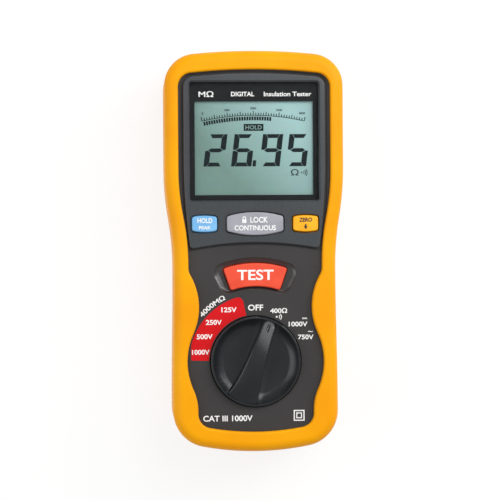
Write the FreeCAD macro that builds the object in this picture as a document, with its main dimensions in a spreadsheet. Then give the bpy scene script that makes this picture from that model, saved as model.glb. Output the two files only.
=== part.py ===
import FreeCAD, Part
import math
import os
import Sketcher

# Hand-held insulation resistance tester, lying on its back.
# +Z is the side with the display, +Y the end with the test sockets, +X the user's right.
# The origin is on the resting plane, under the middle of the bounding box.

doc = FreeCAD.newDocument("insulation_tester")
sheet = doc.addObject("Spreadsheet::Sheet", "sizes")

SIZES = {
    # Rubber holster, seen from the front
    "length": 200.0,
    "head_width": 89.4,
    "waist_width": 80.8,
    "foot_width": 82.4,
    "head_side_end": 42.0,
    "waist_place": -8.0,
    "head_arc": 310.0,
    "head_corner": 16.0,
    "foot_arc": 138.0,
    "foot_corner": 18.0,
    # Holster, through its thickness
    "holster_height": 45.7,
    "holster_wall": 2.8,
    "holster_back": 2.6,
    "holster_lip": 2.6,
    "holster_gap": 0.15,
    "front_round": 5.0,
    "back_round": 4.0,
    "lip_round": 1.2,
    # Front opening of the holster
    "opening_head_gap": 9.6,
    "opening_foot_gap": 10.0,
    "opening_side_gap": 6.8,
    "opening_waist_gap": 7.1,
    "opening_side_end": 40.0,
    "opening_waist_place": -6.0,
    "opening_corner": 7.0,
    "opening_shoulder": 8.0,
    "upper_lobe": 32.0,
    "upper_lobe_width": 56.2,
    "knob_surround": 34.0,
    "lower_lobe": 25.0,
    "lower_lobe_width": 57.6,
    # Openings in the holster for the back and for the sockets
    "back_window_side_gap": 1.2,
    "back_window_head_gap": 6.0,
    "back_window_foot_gap": 1.8,
    "back_window_corner": 6.0,
    "plug_window_margin": 1.6,
    # Case halves
    "parting_height": 24.0,
    "front_wall": 2.2,
    "side_wall": 2.2,
    "rear_wall": 2.0,
    "case_end_round": 1.5,
    # Raised display panel
    "fascia_side_reveal": 2.5,
    "fascia_foot_reveal": 1.0,
    "fascia_top_reveal": 1.8,
    "fascia_side_end": 45.0,
    "fascia_foot": 1.0,
    "fascia_foot_rise": 3.2,
    "fascia_thickness": 2.4,
    "fascia_recess": 0.8,
    "fascia_moat": 1.2,
    "fascia_corner": 5.0,
    "fascia_foot_corner": 2.0,
    "fascia_edge": 0.6,
    # Display
    "view_width": 64.4,
    "view_height": 59.0,
    "view_head_margin": 4.4,
    "view_corner": 1.2,
    "view_chamfer": 0.8,
    "lens_overlap": 1.4,
    "lens_thickness": 1.5,
    "mask_thickness": 0.3,
    "mask_side_margin": 2.6,
    "mask_foot_margin": 2.8,
    "mask_head_margin": 9.45,
    "glass_border": 1.8,
    "glass_head": 4.25,
    "glass_thickness": 2.8,
    "glass_drop": 1.3,
    "light_thickness": 3.9,
    "frame_wall": 1.4,
    "frame_ledge": 1.6,
    "strip_width": 2.0,
    "strip_inset": 1.0,
    "piece_gap": 0.2,
    # Keys
    "key_place": 13.6,
    "side_key_place": 25.2,
    "side_key_width": 12.5,
    "side_key_height": 8.2,
    "side_key_swell": 0.7,
    "lock_key_width": 28.2,
    "lock_key_height": 11.5,
    "lock_key_swell": 2.15,
    "key_corner": 1.4,
    "key_edge": 0.7,
    "key_gap": 0.65,
    "key_stand_out": 1.1,
    "key_flange": 1.0,
    "key_flange_rim": 1.3,
    "key_float": 0.2,
    "key_travel": 0.8,
    "key_stem": 2.2,
    "key_rest": 0.3,
    # Test key, a sector about the knob's axis
    "test_inner": 37.4,
    "test_outer": 49.0,
    "test_half_angle": 19.1,
    "test_stand_out": 1.6,
    "test_travel": 1.2,
    "test_corner": 1.2,
    "dish_inner": 36.2,
    "dish_outer": 51.5,
    "dish_half_angle": 25.5,
    "dish_depth": 1.2,
    "dish_corner": 5.0,
    "dish_cove": 1.1,
    "dish_edge": 0.5,
    # Range knob
    "knob_place": -55.0,
    "knob_radius": 22.4,
    "knob_gap": 0.6,
    "knob_well_depth": 3.0,
    "knob_well_floor": 1.8,
    "knob_float": 0.4,
    "knob_rim_height": 5.2,
    "knob_grip_height": 4.4,
    "knob_rim_width": 1.8,
    "scoop_depth": 2.2,
    "grip_tip": 2.9,
    "grip_heel": 7.2,
    "grip_edge": 1.0,
    "rest_angle": -20.0,
    "shaft_radius": 4.0,
    "shaft_fit": 0.08,
    "bearing_wall": 3.0,
    "bearing_gap": 0.4,
    "shaft_square": 5.4,
    "square_fit": 0.1,
    "rotor_radius": 17.2,
    "rotor_thickness": 3.0,
    "rotor_lift": 1.6,
    "wiper_lift": 0.15,
    "detent_step": 20.0,
    "detent_ball": 1.5,
    "detent_reach": 18.0,
    "detent_ring_inner": 19.9,
    "detent_ring_outer": 22.5,
    "detent_groove": 1.9,
    # Main board and what it carries
    "board_room": 4.95,
    "board_thickness": 1.6,
    "board_gap": 0.8,
    "board_foot_gap": 17.5,
    "board_screw_hole": 1.25,
    "board_boss": 2.6,
    "head_boss_y": 40.0,
    "waist_boss_y": -5.0,
    "waist_boss_inset": 9.4,
    "foot_boss_y": -78.0,
    "foot_boss_inset": 12.4,
    "fuse_place": 15.0,
    "fuse_radius": 2.6,
    "fuse_length": 20.0,
    # Sockets for 4 mm plugs
    "socket_pitch": 19.0,
    "socket_level": 21.0,
    "socket_bore": 2.0,
    "socket_wall": 1.0,
    "socket_depth": 20.0,
    "shroud_radius": 4.3,
    "block_side_margin": 5.5,
    "block_height": 13.0,
    "block_recess": 5.0,
    "block_depth": 22.5,
    "block_back_wall": 3.0,
    "contact_recess": 1.0,
    "contact_tail": 3.0,
    "contact_fit": 0.02,
    # Cells and their bay
    "cell_radius": 7.1,
    "cell_length": 50.5,
    "cell_nub": 1.0,
    "cell_nub_radius": 2.75,
    "cell_gap": 0.6,
    "cell_lift": 0.6,
    "bay_spring_room": 7.5,
    "bay_foot": -79.4,
    "bay_end_gap": 0.3,
    "bay_wall": 1.6,
    "bay_roof": 1.4,
    "bay_roof_gap": 0.5,
    "contact_plate": 0.5,
    "spring_radius": 3.6,
    "spring_wire": 0.4,
    # Battery cover
    "door_lip": 1.2,
    "door_lip_thickness": 1.0,
    "door_gap": 0.25,
    "door_head": 8.2,
    "door_screw_place": 24.0,
    # Screws
    "case_screw": 1.5,
    "case_screw_head": 2.8,
    "case_boss": 3.0,
    "head_boss_wall": 1.0,
    "case_screw_length": 30.0,
    "head_depth": 1.8,
    "head_screw_inset": 8.0,
    "head_screw_gap": 34.0,
    "foot_screw_x": 20.0,
    "foot_screw_gap": 12.8,
    # Tilt stand
    "stand_place": 44.0,
    "stand_width": 36.0,
    "stand_length": 66.0,
    "stand_thickness": 2.0,
    "stand_lift": 0.5,
    "stand_axis_level": 3.4,
    "stand_barrel": 1.9,
    "stand_pin": 1.0,
    "stand_pin_fit": 0.05,
    "stand_pin_seat": 2.4,
    "stand_side_gap": 0.4,
    "stand_swing_room": 3.4,
}


def fill_sheet():
    for row, (alias, value) in enumerate(SIZES.items(), start=1):
        cell = f"B{row}"
        sheet.set(f"A{row}", alias)
        sheet.set(cell, str(value))
        sheet.setAlias(cell, alias)
    doc.recompute()


class Size:
    # A number together with the sheet expression that gives it.
    def __init__(self, value, text):
        self.value = float(value)
        self.text = text

    def __add__(self, other):
        other = as_size(other)
        return Size(self.value + other.value, f"({self.text} + {other.text})")

    def __radd__(self, other):
        return as_size(other) + self

    def __sub__(self, other):
        other = as_size(other)
        return Size(self.value - other.value, f"({self.text} - {other.text})")

    def __rsub__(self, other):
        return as_size(other) - self

    def __mul__(self, other):
        other = as_size(other)
        return Size(self.value * other.value, f"({self.text} * {other.text})")

    def __rmul__(self, other):
        return as_size(other) * self

    def __truediv__(self, other):
        other = as_size(other)
        return Size(self.value / other.value, f"({self.text} / {other.text})")

    def __rtruediv__(self, other):
        return as_size(other) / self

    def __neg__(self):
        return Size(-self.value, f"(0 - {self.text})")


def as_size(number):
    if isinstance(number, Size):
        return number
    if number < 0:
        return Size(number, f"(0 - {-number})")
    return Size(number, str(number))


def root(size):
    return Size(math.sqrt(size.value), f"sqrt({size.text})")


def sine(degrees):
    return Size(math.sin(math.radians(degrees.value)), f"sin({degrees.text})")


def cosine(degrees):
    return Size(math.cos(math.radians(degrees.value)), f"cos({degrees.text})")


class Sheet:
    # Lets a size be read as an attribute, such as s.length.
    def __getattr__(self, alias):
        return Size(SIZES[alias], f"sizes.{alias}")


s = Sheet()

# ---- Document helpers ----

parts = []


def keep(item, label):
    item.Label = label
    parts.append(item)
    return item


def bind(item, field, size):
    item.setExpression(field, as_size(size).text)


def place(item, x=0, y=0, z=0, rotation=None):
    x, y, z = as_size(x), as_size(y), as_size(z)
    turn = rotation or FreeCAD.Rotation()
    item.Placement = FreeCAD.Placement(FreeCAD.Vector(x.value, y.value, z.value), turn)
    for axis, size in zip("xyz", (x, y, z)):
        bind(item, f"Placement.Base.{axis}", size)
    return item


def new_body(label):
    return keep(doc.addObject("PartDesign::Body", label + "_body"), label)


def new_sketch(body, level=0, x=0, y=0, plane="XY_Plane"):
    sketch = body.newObject("Sketcher::SketchObject", "outline")
    origin = [item for item in body.Origin.OriginFeatures if item.Role == plane][0]
    sketch.AttachmentSupport = [(origin, "")]
    sketch.MapMode = "FlatFace"
    for axis, size in zip("xyz", (x, y, level)):
        bind(sketch, f"AttachmentOffset.Base.{axis}", size)
    return sketch


def new_end_sketch(body, y):
    # A sketch across the socket end, about the sockets' level; its normal points down the case.
    return new_sketch(body, -y, y=s.socket_level, plane="XZ_Plane")


def pin(sketch, geometry, vertex, x, y):
    for kind, size in (("DistanceX", as_size(x)), ("DistanceY", as_size(y))):
        row = sketch.addConstraint(Sketcher.Constraint(kind, -1, 1, geometry, vertex, size.value))
        if size.value:
            sketch.setExpression(f"Constraints[{row}]", size.text)


def draw_circle(sketch, x, y, radius):
    x, y, radius = as_size(x), as_size(y), as_size(radius)
    centre = FreeCAD.Vector(x.value, y.value, 0)
    ring = sketch.addGeometry(Part.Circle(centre, FreeCAD.Vector(0, 0, 1), radius.value))
    row = sketch.addConstraint(Sketcher.Constraint("Radius", ring, radius.value))
    sketch.setExpression(f"Constraints[{row}]", radius.text)
    pin(sketch, ring, 3, x, y)


class Bow:
    # An arc of an outline: bulge is 1 where the outline swells out and -1 where it is hollow.
    def __init__(self, x, y, radius, bulge=1):
        self.x, self.y, self.radius = as_size(x), as_size(y), as_size(radius)
        self.bulge = bulge

    def inset(self, depth):
        return Bow(self.x, self.y, self.radius - depth * self.bulge, self.bulge)

    def crown(self, sign):
        return (as_size(0), self.y + self.radius * sign)


class Side:
    # A straight upright stretch of an outline.
    def __init__(self, x):
        self.x = as_size(x)

    def inset(self, depth):
        return Side(self.x - depth)


def meeting(first, second):
    # The point where two tangent stretches of an outline meet.
    if isinstance(first, Side):
        return (first.x, second.y)
    if isinstance(second, Side):
        return (second.x, first.y)
    if first.bulge != second.bulge:
        share = first.radius / (first.radius + second.radius)
        return (first.x + (second.x - first.x) * share, first.y + (second.y - first.y) * share)
    big, small = sorted((first, second), key=lambda bow: -bow.radius.value)
    share = big.radius / (big.radius - small.radius)
    return (big.x + (small.x - big.x) * share, big.y + (small.y - big.y) * share)


def draw_edge(sketch, start, end, bow=None):
    # Draws one stretch of a clockwise outline and gives its two end vertices.
    flat = [FreeCAD.Vector(x.value, y.value, 0) for x, y in (start, end)]
    if bow is None:
        return (sketch.addGeometry(Part.LineSegment(*flat)), 1, 2)
    centre = FreeCAD.Vector(bow.x.value, bow.y.value, 0)
    ends = (1, 2)
    if bow.bulge > 0:
        flat.reverse()
        ends = (2, 1)
    turns = [math.atan2(spot.y - centre.y, spot.x - centre.x) for spot in flat]
    circle = Part.Circle(centre, FreeCAD.Vector(0, 0, 1), bow.radius.value)
    edge = sketch.addGeometry(Part.ArcOfCircle(circle, turns[0], turns[1] + 2 * math.pi * (turns[1] < turns[0])))
    row = sketch.addConstraint(Sketcher.Constraint("Radius", edge, bow.radius.value))
    sketch.setExpression(f"Constraints[{row}]", bow.radius.text)
    return (edge,) + ends


def draw_loop(sketch, corners, bows):
    # Draws a closed clockwise outline; bows[i] is the arc from corner i to the next, or None.
    corners = [(as_size(x), as_size(y)) for x, y in corners]
    count = len(corners)
    edges = []
    for index, bow in enumerate(bows):
        edges.append(draw_edge(sketch, corners[index], corners[(index + 1) % count], bow))
    for index, (edge, first, last) in enumerate(edges):
        following, start, end = edges[(index + 1) % count]
        sketch.addConstraint(Sketcher.Constraint("Coincident", edge, last, following, start))
        pin(sketch, following, start, *corners[(index + 1) % count])


def draw_symmetric(sketch, stretches):
    # Draws an outline that is the same left and right, from its right half, top to bottom.
    right = [meeting(*pair) for pair in zip(stretches, stretches[1:])]
    left = [(-x, y) for x, y in reversed(right)]
    bows = [item if isinstance(item, Bow) else None for item in stretches]
    mirrored = [bow and Bow(-bow.x, bow.y, bow.radius, bow.bulge) for bow in reversed(bows[1:-1])]
    draw_loop(sketch, right + left, bows[1:] + mirrored + bows[:1])


def draw_box(sketch, x, y, width, height):
    x, y = as_size(x), as_size(y)
    half, rise = width / 2, height / 2
    corners = [(x - half, y - rise), (x - half, y + rise), (x + half, y + rise), (x + half, y - rise)]
    draw_loop(sketch, corners, [None] * 4)


def add_feature(body, kind, sketch, length, reverse=False):
    feature = body.newObject("PartDesign::" + kind, kind.lower())
    feature.Profile = sketch
    feature.Reversed = reverse
    bind(feature, "Length", length)
    sketch.Visibility = False
    doc.recompute()
    return feature


def pad(body, sketch, length):
    return add_feature(body, "Pad", sketch, length)


def dig(body, sketch, depth, up=False):
    # Cuts a pocket and makes sure that it has taken something away.
    before = body.Shape.Volume
    feature = add_feature(body, "Pocket", sketch, depth, up)
    if body.Shape.Volume > before - 0.01:
        raise RuntimeError(f"a pocket in {body.Label} cuts nothing")
    return feature


def round_edges(body, kind, size, chosen):
    # Rounds or chamfers each edge that the test picks, by its middle point and direction.
    base = body.Tip
    names = []
    for index, edge in enumerate(base.Shape.Edges, start=1):
        first, last = edge.FirstParameter, edge.LastParameter
        middle = edge.valueAt((first + last) / 2)
        if chosen(middle, edge.valueAt(last) - edge.valueAt(first)):
            names.append(f"Edge{index}")
    if not names:
        raise RuntimeError(f"no edge to round in {body.Label}")
    feature = body.newObject("PartDesign::" + kind, kind.lower())
    feature.Base = (base, names)
    bind(feature, "Radius" if kind == "Fillet" else "Size", size)
    doc.recompute()
    return feature


def near(one, other, slack=0.02):
    return abs(one - as_size(other).value) < slack


def block(name, x, y, z, width, depth, height):
    # A box with its middle at x and y and its underside at z.
    item = doc.addObject("Part::Box", name)
    width, depth, height = as_size(width), as_size(depth), as_size(height)
    bind(item, "Length", width)
    bind(item, "Width", depth)
    bind(item, "Height", height)
    return place(item, as_size(x) - width / 2, as_size(y) - depth / 2, z)


TURNS = {
    "z": FreeCAD.Rotation(),
    "x": FreeCAD.Rotation(FreeCAD.Vector(0, 1, 0), 90),
    "y": FreeCAD.Rotation(FreeCAD.Vector(1, 0, 0), -90),
}


def rod(name, x, y, z, radius, length, axis="z"):
    # A cylinder that starts at the given point and runs along an axis.
    item = doc.addObject("Part::Cylinder", name)
    bind(item, "Radius", radius)
    bind(item, "Height", length)
    return place(item, x, y, z, TURNS[axis])


def fuse(name, items):
    item = doc.addObject("Part::MultiFuse", name)
    item.Shapes = items
    return item


def cut(name, base, tool):
    item = doc.addObject("Part::Cut", name)
    item.Base = base
    item.Tool = tool
    return item


def group(name, items):
    item = doc.addObject("Part::Compound", name)
    item.Links = items
    return keep(item, name)


fill_sheet()

# ---- Levels and outlines that several parts share ----

end = s.length / 2
case_inset = s.holster_wall + s.holster_gap
case_back = s.holster_back + s.holster_gap
face = s.holster_height - s.holster_lip - s.holster_gap * 2 / 3
ceiling = face - s.front_wall
floor = case_back + s.rear_wall
fascia_seat = face - s.fascia_recess
fascia_face = fascia_seat + s.fascia_thickness
lens_back = fascia_seat - s.lens_thickness
mask_back = lens_back - s.mask_thickness
glass_face = mask_back - s.glass_drop + s.mask_thickness
glass_back = glass_face - s.glass_thickness
cell_level = floor + s.cell_lift + s.cell_radius
bay_ceiling = cell_level + s.cell_radius + s.bay_roof_gap
board_level = bay_ceiling + s.bay_roof + s.board_room
board_top = board_level + s.board_thickness
key_back = ceiling - s.key_float
well_floor = face - s.knob_well_depth
well_back = well_floor - s.knob_well_floor
knob_back = well_floor + s.knob_float
rotor_back = board_top + s.rotor_lift
rotor_top = rotor_back + s.rotor_thickness
bearing_length = well_back - rotor_top - s.bearing_gap

# ---- Places along and across the case ----

sockets = [s.socket_pitch * step for step in (-1.5, -0.5, 0.5, 1.5)]
block_width = s.socket_pitch * 3 + s.block_side_margin * 2
block_front = end - s.block_recess
block_back = block_front - s.block_depth
opening_head_side = s.head_width / 2 - s.opening_side_gap
opening_waist_side = s.waist_width / 2 - s.opening_waist_gap
fascia_side = opening_head_side - s.fascia_side_reveal
fascia_foot_side = opening_waist_side - s.fascia_foot_reveal
fascia_top = end - s.opening_head_gap - s.fascia_top_reveal
view_top = fascia_top - s.view_head_margin
view_foot = view_top - s.view_height
view_middle = (view_top + view_foot) / 2
mask_width = s.view_width - s.mask_side_margin * 2
mask_top = view_top - s.mask_head_margin
mask_foot = view_foot + s.mask_foot_margin
glass_foot = mask_foot - s.glass_border
glass_top = mask_top + s.glass_head
glass_width = mask_width + s.glass_border * 2
glass_middle = (glass_foot + glass_top) / 2
cell_pitch = s.cell_radius * 2 + s.cell_gap
bay_width = s.cell_length + s.bay_spring_room
bay_length = cell_pitch * 6 + s.bay_end_gap * 2
bay_middle = s.bay_foot + bay_length / 2
bay_head = s.bay_foot + bay_length
door_width = bay_width + s.door_lip * 2
door_foot = s.bay_foot - s.door_lip
door_head = bay_head + s.door_head
door_screw_y = bay_head + s.door_head / 2
head_screw_x = s.head_width / 2 - s.head_screw_inset
head_screw_y = end - s.head_screw_gap


def swerve(x_top, y_top, x_foot, y_foot):
    # Two equal arcs that carry an upright side from one width to another.
    drop = y_top - y_foot
    shift = x_top - x_foot
    if shift.value > 0:
        radius = (drop * drop + shift * shift) / (shift * 4)
        return [Bow(x_top - radius, y_top, radius), Bow(x_foot + radius, y_foot, radius, -1)]
    shift = -shift
    radius = (drop * drop + shift * shift) / (shift * 4)
    return [Bow(x_top + radius, y_top, radius, -1), Bow(x_foot - radius, y_foot, radius)]


def corner_bow(end_bow, side, radius, sign):
    # The corner arc between an end arc and an upright side; sign is 1 at the head, -1 at the foot.
    x = side - radius
    reach = end_bow.radius - radius
    return Bow(x, end_bow.y + root(reach * reach - x * x) * sign, radius)


def holster_outline(inset=0):
    head = Bow(0, end - s.head_arc, s.head_arc)
    foot = Bow(0, s.foot_arc - end, s.foot_arc)
    head_corner = corner_bow(head, s.head_width / 2, s.head_corner, 1)
    foot_corner = corner_bow(foot, s.foot_width / 2, s.foot_corner, -1)
    taper = swerve(s.head_width / 2, s.head_side_end, s.waist_width / 2, s.waist_place)
    flare = swerve(s.waist_width / 2, s.waist_place, s.foot_width / 2, foot_corner.y)
    chain = [head, head_corner, Side(s.head_width / 2)] + taper + flare + [foot_corner, foot]
    return [stretch.inset(as_size(inset)) for stretch in chain]


def opening_outline():
    head = Bow(0, end - s.head_arc, s.head_arc - s.opening_head_gap)
    foot = Bow(0, s.foot_arc - end, s.foot_arc - s.opening_foot_gap)
    head_side = opening_head_side
    waist = opening_waist_side
    taper = swerve(head_side, s.opening_side_end, waist, s.opening_waist_place)
    surround = Bow(0, s.knob_place, s.knob_surround)
    lobes = []
    for radius, width, sign in ((s.upper_lobe, s.upper_lobe_width, 1), (s.lower_lobe, s.lower_lobe_width, -1)):
        x = radius + width / 2
        reach = radius + s.knob_surround
        lobes.append(Bow(x, s.knob_place + root(reach * reach - x * x) * sign, radius, -1))
    x = waist - s.opening_shoulder
    reach = s.opening_shoulder + s.upper_lobe
    gap = lobes[0].x - x
    shoulder = Bow(x, lobes[0].y + root(reach * reach - gap * gap), s.opening_shoulder)
    foot_side = s.lower_lobe_width / 2
    chain = [head, corner_bow(head, head_side, s.opening_corner, 1), Side(head_side)] + taper
    chain += [Side(waist), shoulder, lobes[0], surround, lobes[1], Side(foot_side)]
    return chain + [corner_bow(foot, foot_side, s.opening_corner, -1), foot]


def draw_fascia(sketch, grow):
    # The outline of the raised panel, or of its recess where it grows.
    side = fascia_side + grow
    foot_side = fascia_foot_side + grow
    foot = s.fascia_foot - grow
    head = Bow(0, end - s.head_arc, fascia_top - end + s.head_arc + grow)
    corner = corner_bow(head, side, s.fascia_corner + grow, 1)
    drop = s.fascia_side_end - foot
    shift = side - foot_side
    flank_radius = (drop * drop + shift * shift) / (shift * 2)
    flank = Bow(side - flank_radius, s.fascia_side_end, flank_radius)
    rise = s.fascia_foot_rise
    base_radius = (foot_side * foot_side + rise * rise) / (rise * 2)
    base = Bow(0, foot + rise - base_radius, base_radius, -1)
    right = [meeting(head, corner), (side, corner.y), (side, s.fascia_side_end), (foot_side, foot)]
    left = [(-x, y) for x, y in reversed(right)]
    mirrored = [Bow(-bow.x, bow.y, bow.radius) for bow in (flank, corner)]
    bows = [corner, None, flank, base, mirrored[0], None, mirrored[1], head]
    draw_loop(sketch, right + left, bows)


def draw_key(sketch, width, height, swell, grow=0):
    # A barrel-shaped key about the sketch's own centre; swell is how far its long sides bulge.
    half = width / 2 + grow
    crown = height / 2 + grow
    shoulder = crown - swell
    radius = (half * half + swell * swell) / (swell * 2)
    top = Bow(0, crown - radius, radius)
    base = Bow(0, radius - crown, radius)
    draw_loop(sketch, [(half, shoulder), (half, -shoulder), (-half, -shoulder), (-half, shoulder)],
              [None, base, None, top])


def draw_sector(sketch, inner, outer, half_angle, grow=0):
    # A sector of a ring about the knob's axis, whose ends lie along the radius.
    inner = inner - grow
    outer = outer + grow
    turn = half_angle + grow / outer * (180 / math.pi)
    across, along = sine(turn), cosine(turn)
    far = (outer * across, outer * along)
    close = (inner * across, inner * along)
    corners = [far, close, (-close[0], close[1]), (-far[0], far[1])]
    draw_loop(sketch, corners, [None, Bow(0, 0, inner, -1), None, Bow(0, 0, outer)])


# ---- Holster and case ----

def make_holster():
    body = new_body("holster")
    sketch = new_sketch(body)
    draw_symmetric(sketch, holster_outline())
    pad(body, sketch, s.holster_height)
    top = s.holster_height.value
    round_edges(body, "Fillet", s.front_round, lambda spot, run: near(spot.z, top) and near(run.z, 0))
    round_edges(body, "Fillet", s.back_round, lambda spot, run: near(spot.z, 0) and near(run.z, 0))
    sketch = new_sketch(body, s.holster_back)
    draw_symmetric(sketch, holster_outline(s.holster_wall))
    dig(body, sketch, s.holster_height - s.holster_lip - s.holster_back, up=True)
    sketch = new_sketch(body, s.holster_height)
    draw_symmetric(sketch, opening_outline())
    dig(body, sketch, s.holster_lip)
    half_head = opening_head_side
    round_edges(body, "Fillet", s.lip_round, lambda spot, run: near(spot.z, top) and near(run.z, 0)
                and abs(spot.x) <= half_head.value + 0.1
                and abs(spot.y) <= (end - s.opening_head_gap).value + 0.1)
    sketch = new_sketch(body)
    window_top = s.stand_place + s.back_window_head_gap
    window_foot = door_foot - s.back_window_foot_gap
    window_width = door_width + s.back_window_side_gap * 2
    draw_box(sketch, 0, (window_top + window_foot) / 2, window_width, window_top - window_foot)
    dig(body, sketch, s.holster_back, up=True)
    side = window_width / 2
    round_edges(body, "Fillet", s.back_window_corner, lambda spot, run: near(abs(spot.x), side)
                and near(spot.z, s.holster_back / 2) and near(run.x, 0) and near(run.y, 0))
    sketch = new_end_sketch(body, end)
    margin = s.plug_window_margin * 2
    draw_box(sketch, 0, 0, block_width + margin, s.block_height + margin)
    dig(body, sketch, s.holster_wall * 2 + s.holster_gap, up=True)
    return body


def key_sites():
    # Label, place across the front and the measures of each of the three small keys.
    side = (s.side_key_width, s.side_key_height, s.side_key_swell)
    lock = (s.lock_key_width, s.lock_key_height, s.lock_key_swell)
    return [("hold_key", -s.side_key_place, side), ("lock_key", as_size(0), lock),
            ("zero_key", s.side_key_place, side)]


def upright_at(level):
    # Picks the straight upright edges whose middle lies at a level.
    return lambda spot, run: near(spot.z, level) and near(run.x, 0) and near(run.y, 0)


def key_openings(body, level, depth):
    # Openings for the three keys, with the same round corners and gap all round.
    for label, x, (width, height, swell) in key_sites():
        sketch = new_sketch(body, level, x, s.key_place)
        draw_key(sketch, width, height, swell, s.key_gap)
        dig(body, sketch, depth)
        reach = (width / 2 + s.key_gap).value
        picked = upright_at(level - depth / 2)
        round_edges(body, "Fillet", s.key_corner + s.key_gap, lambda spot, run: picked(spot, run)
                    and near(abs(spot.x - x.value), reach) and near(spot.y, s.key_place, height.value))


def case_screw_sites():
    sites = []
    for sign in (-1, 1):
        sites.append((head_screw_x * sign, head_screw_y))
        sites.append((s.foot_screw_x * sign, s.foot_screw_gap - end))
    return sites


def board_screw_sites():
    waist = s.waist_width / 2
    bosses = [(glass_width / 2 + s.frame_wall + s.board_boss + s.board_gap, s.head_boss_y),
              (waist - s.waist_boss_inset, s.waist_boss_y), (waist - s.foot_boss_inset, s.foot_boss_y)]
    return [(x * sign, y) for x, y in bosses for sign in (-1, 1)]


def in_dish(spot, inner, outer):
    # Whether a point lies in the band of the dish that surrounds the test key.
    reach = math.hypot(spot.x, spot.y - s.knob_place.value)
    return inner.value - 0.1 < reach < outer.value + 0.1 and spot.y > s.knob_place.value


def make_front_cover():
    body = new_body("front_cover")
    sketch = new_sketch(body, s.parting_height)
    draw_symmetric(sketch, holster_outline(case_inset))
    pad(body, sketch, face - s.parting_height)
    round_edges(body, "Fillet", s.case_end_round, lambda spot, run: near(spot.z, face) and near(run.z, 0))
    sketch = new_sketch(body, s.parting_height)
    draw_symmetric(sketch, holster_outline(case_inset + s.side_wall))
    dig(body, sketch, ceiling - s.parting_height, up=True)
    sketch = new_sketch(body, well_back, 0, s.knob_place)
    draw_circle(sketch, 0, 0, s.knob_radius + s.knob_gap + s.side_wall)
    pad(body, sketch, ceiling - well_back)
    sketch = new_sketch(body, well_back - bearing_length, 0, s.knob_place)
    draw_circle(sketch, 0, 0, s.shaft_radius + s.bearing_wall)
    pad(body, sketch, bearing_length)
    sketch = new_sketch(body, board_top)
    for x, y in board_screw_sites():
        draw_circle(sketch, x, y, s.board_boss)
    pad(body, sketch, ceiling - board_top)
    sketch = new_sketch(body, s.parting_height)
    for x, y in case_screw_sites():
        draw_circle(sketch, x, y, s.case_boss)
    pad(body, sketch, ceiling - s.parting_height)
    sketch = new_sketch(body, ceiling - s.dish_depth, 0, s.knob_place)
    draw_sector(sketch, s.dish_inner - s.dish_depth, s.dish_outer + s.dish_depth, s.dish_half_angle)
    pad(body, sketch, s.dish_depth)
    sketch = new_sketch(body, face)
    draw_fascia(sketch, s.fascia_moat)
    dig(body, sketch, s.fascia_recess)
    sketch = new_sketch(body, fascia_seat)
    lens = (view_top - view_foot) + (s.lens_overlap + s.piece_gap) * 2
    draw_box(sketch, 0, (view_top + view_foot) / 2, s.view_width + (s.lens_overlap + s.piece_gap) * 2, lens)
    dig(body, sketch, fascia_seat - ceiling)
    key_openings(body, fascia_seat, fascia_seat - ceiling)
    sketch = new_sketch(body, face, 0, s.knob_place)
    draw_sector(sketch, s.dish_inner, s.dish_outer, s.dish_half_angle)
    dig(body, sketch, s.dish_depth)
    floor_level = face - s.dish_depth
    picked = upright_at(face - s.dish_depth / 2)
    round_edges(body, "Fillet", s.dish_corner, lambda spot, run: picked(spot, run)
                and in_dish(spot, s.dish_inner, s.dish_outer))
    for size, level in ((s.dish_cove, floor_level), (s.dish_edge, face)):
        round_edges(body, "Fillet", size, lambda spot, run: near(spot.z, level) and near(run.z, 0)
                    and in_dish(spot, s.dish_inner, s.dish_outer))
    sketch = new_sketch(body, floor_level, 0, s.knob_place)
    draw_sector(sketch, s.test_inner, s.test_outer, s.test_half_angle, s.key_gap)
    dig(body, sketch, floor_level - ceiling + s.dish_depth)
    sketch = new_sketch(body, face, 0, s.knob_place)
    draw_circle(sketch, 0, 0, s.knob_radius + s.knob_gap)
    dig(body, sketch, s.knob_well_depth)
    sketch = new_sketch(body, well_floor, 0, s.knob_place)
    draw_circle(sketch, 0, 0, s.shaft_radius + s.shaft_fit)
    dig(body, sketch, s.knob_well_floor + bearing_length)
    sketch = new_sketch(body, board_top)
    for x, y in board_screw_sites():
        draw_circle(sketch, x, y, s.board_screw_hole)
    dig(body, sketch, s.board_boss * 3, up=True)
    sketch = new_sketch(body, s.parting_height)
    for x, y in case_screw_sites():
        draw_circle(sketch, x, y, s.case_screw)
    dig(body, sketch, s.case_boss * 4, up=True)
    end_opening(body)
    return body


def end_opening(body):
    # The opening in the end wall that the socket block fills.
    sketch = new_end_sketch(body, end)
    draw_box(sketch, 0, 0, block_width + s.piece_gap * 2, s.block_height + s.piece_gap * 2)
    dig(body, sketch, end - block_front + s.case_boss + s.holster_lip, up=True)


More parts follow.
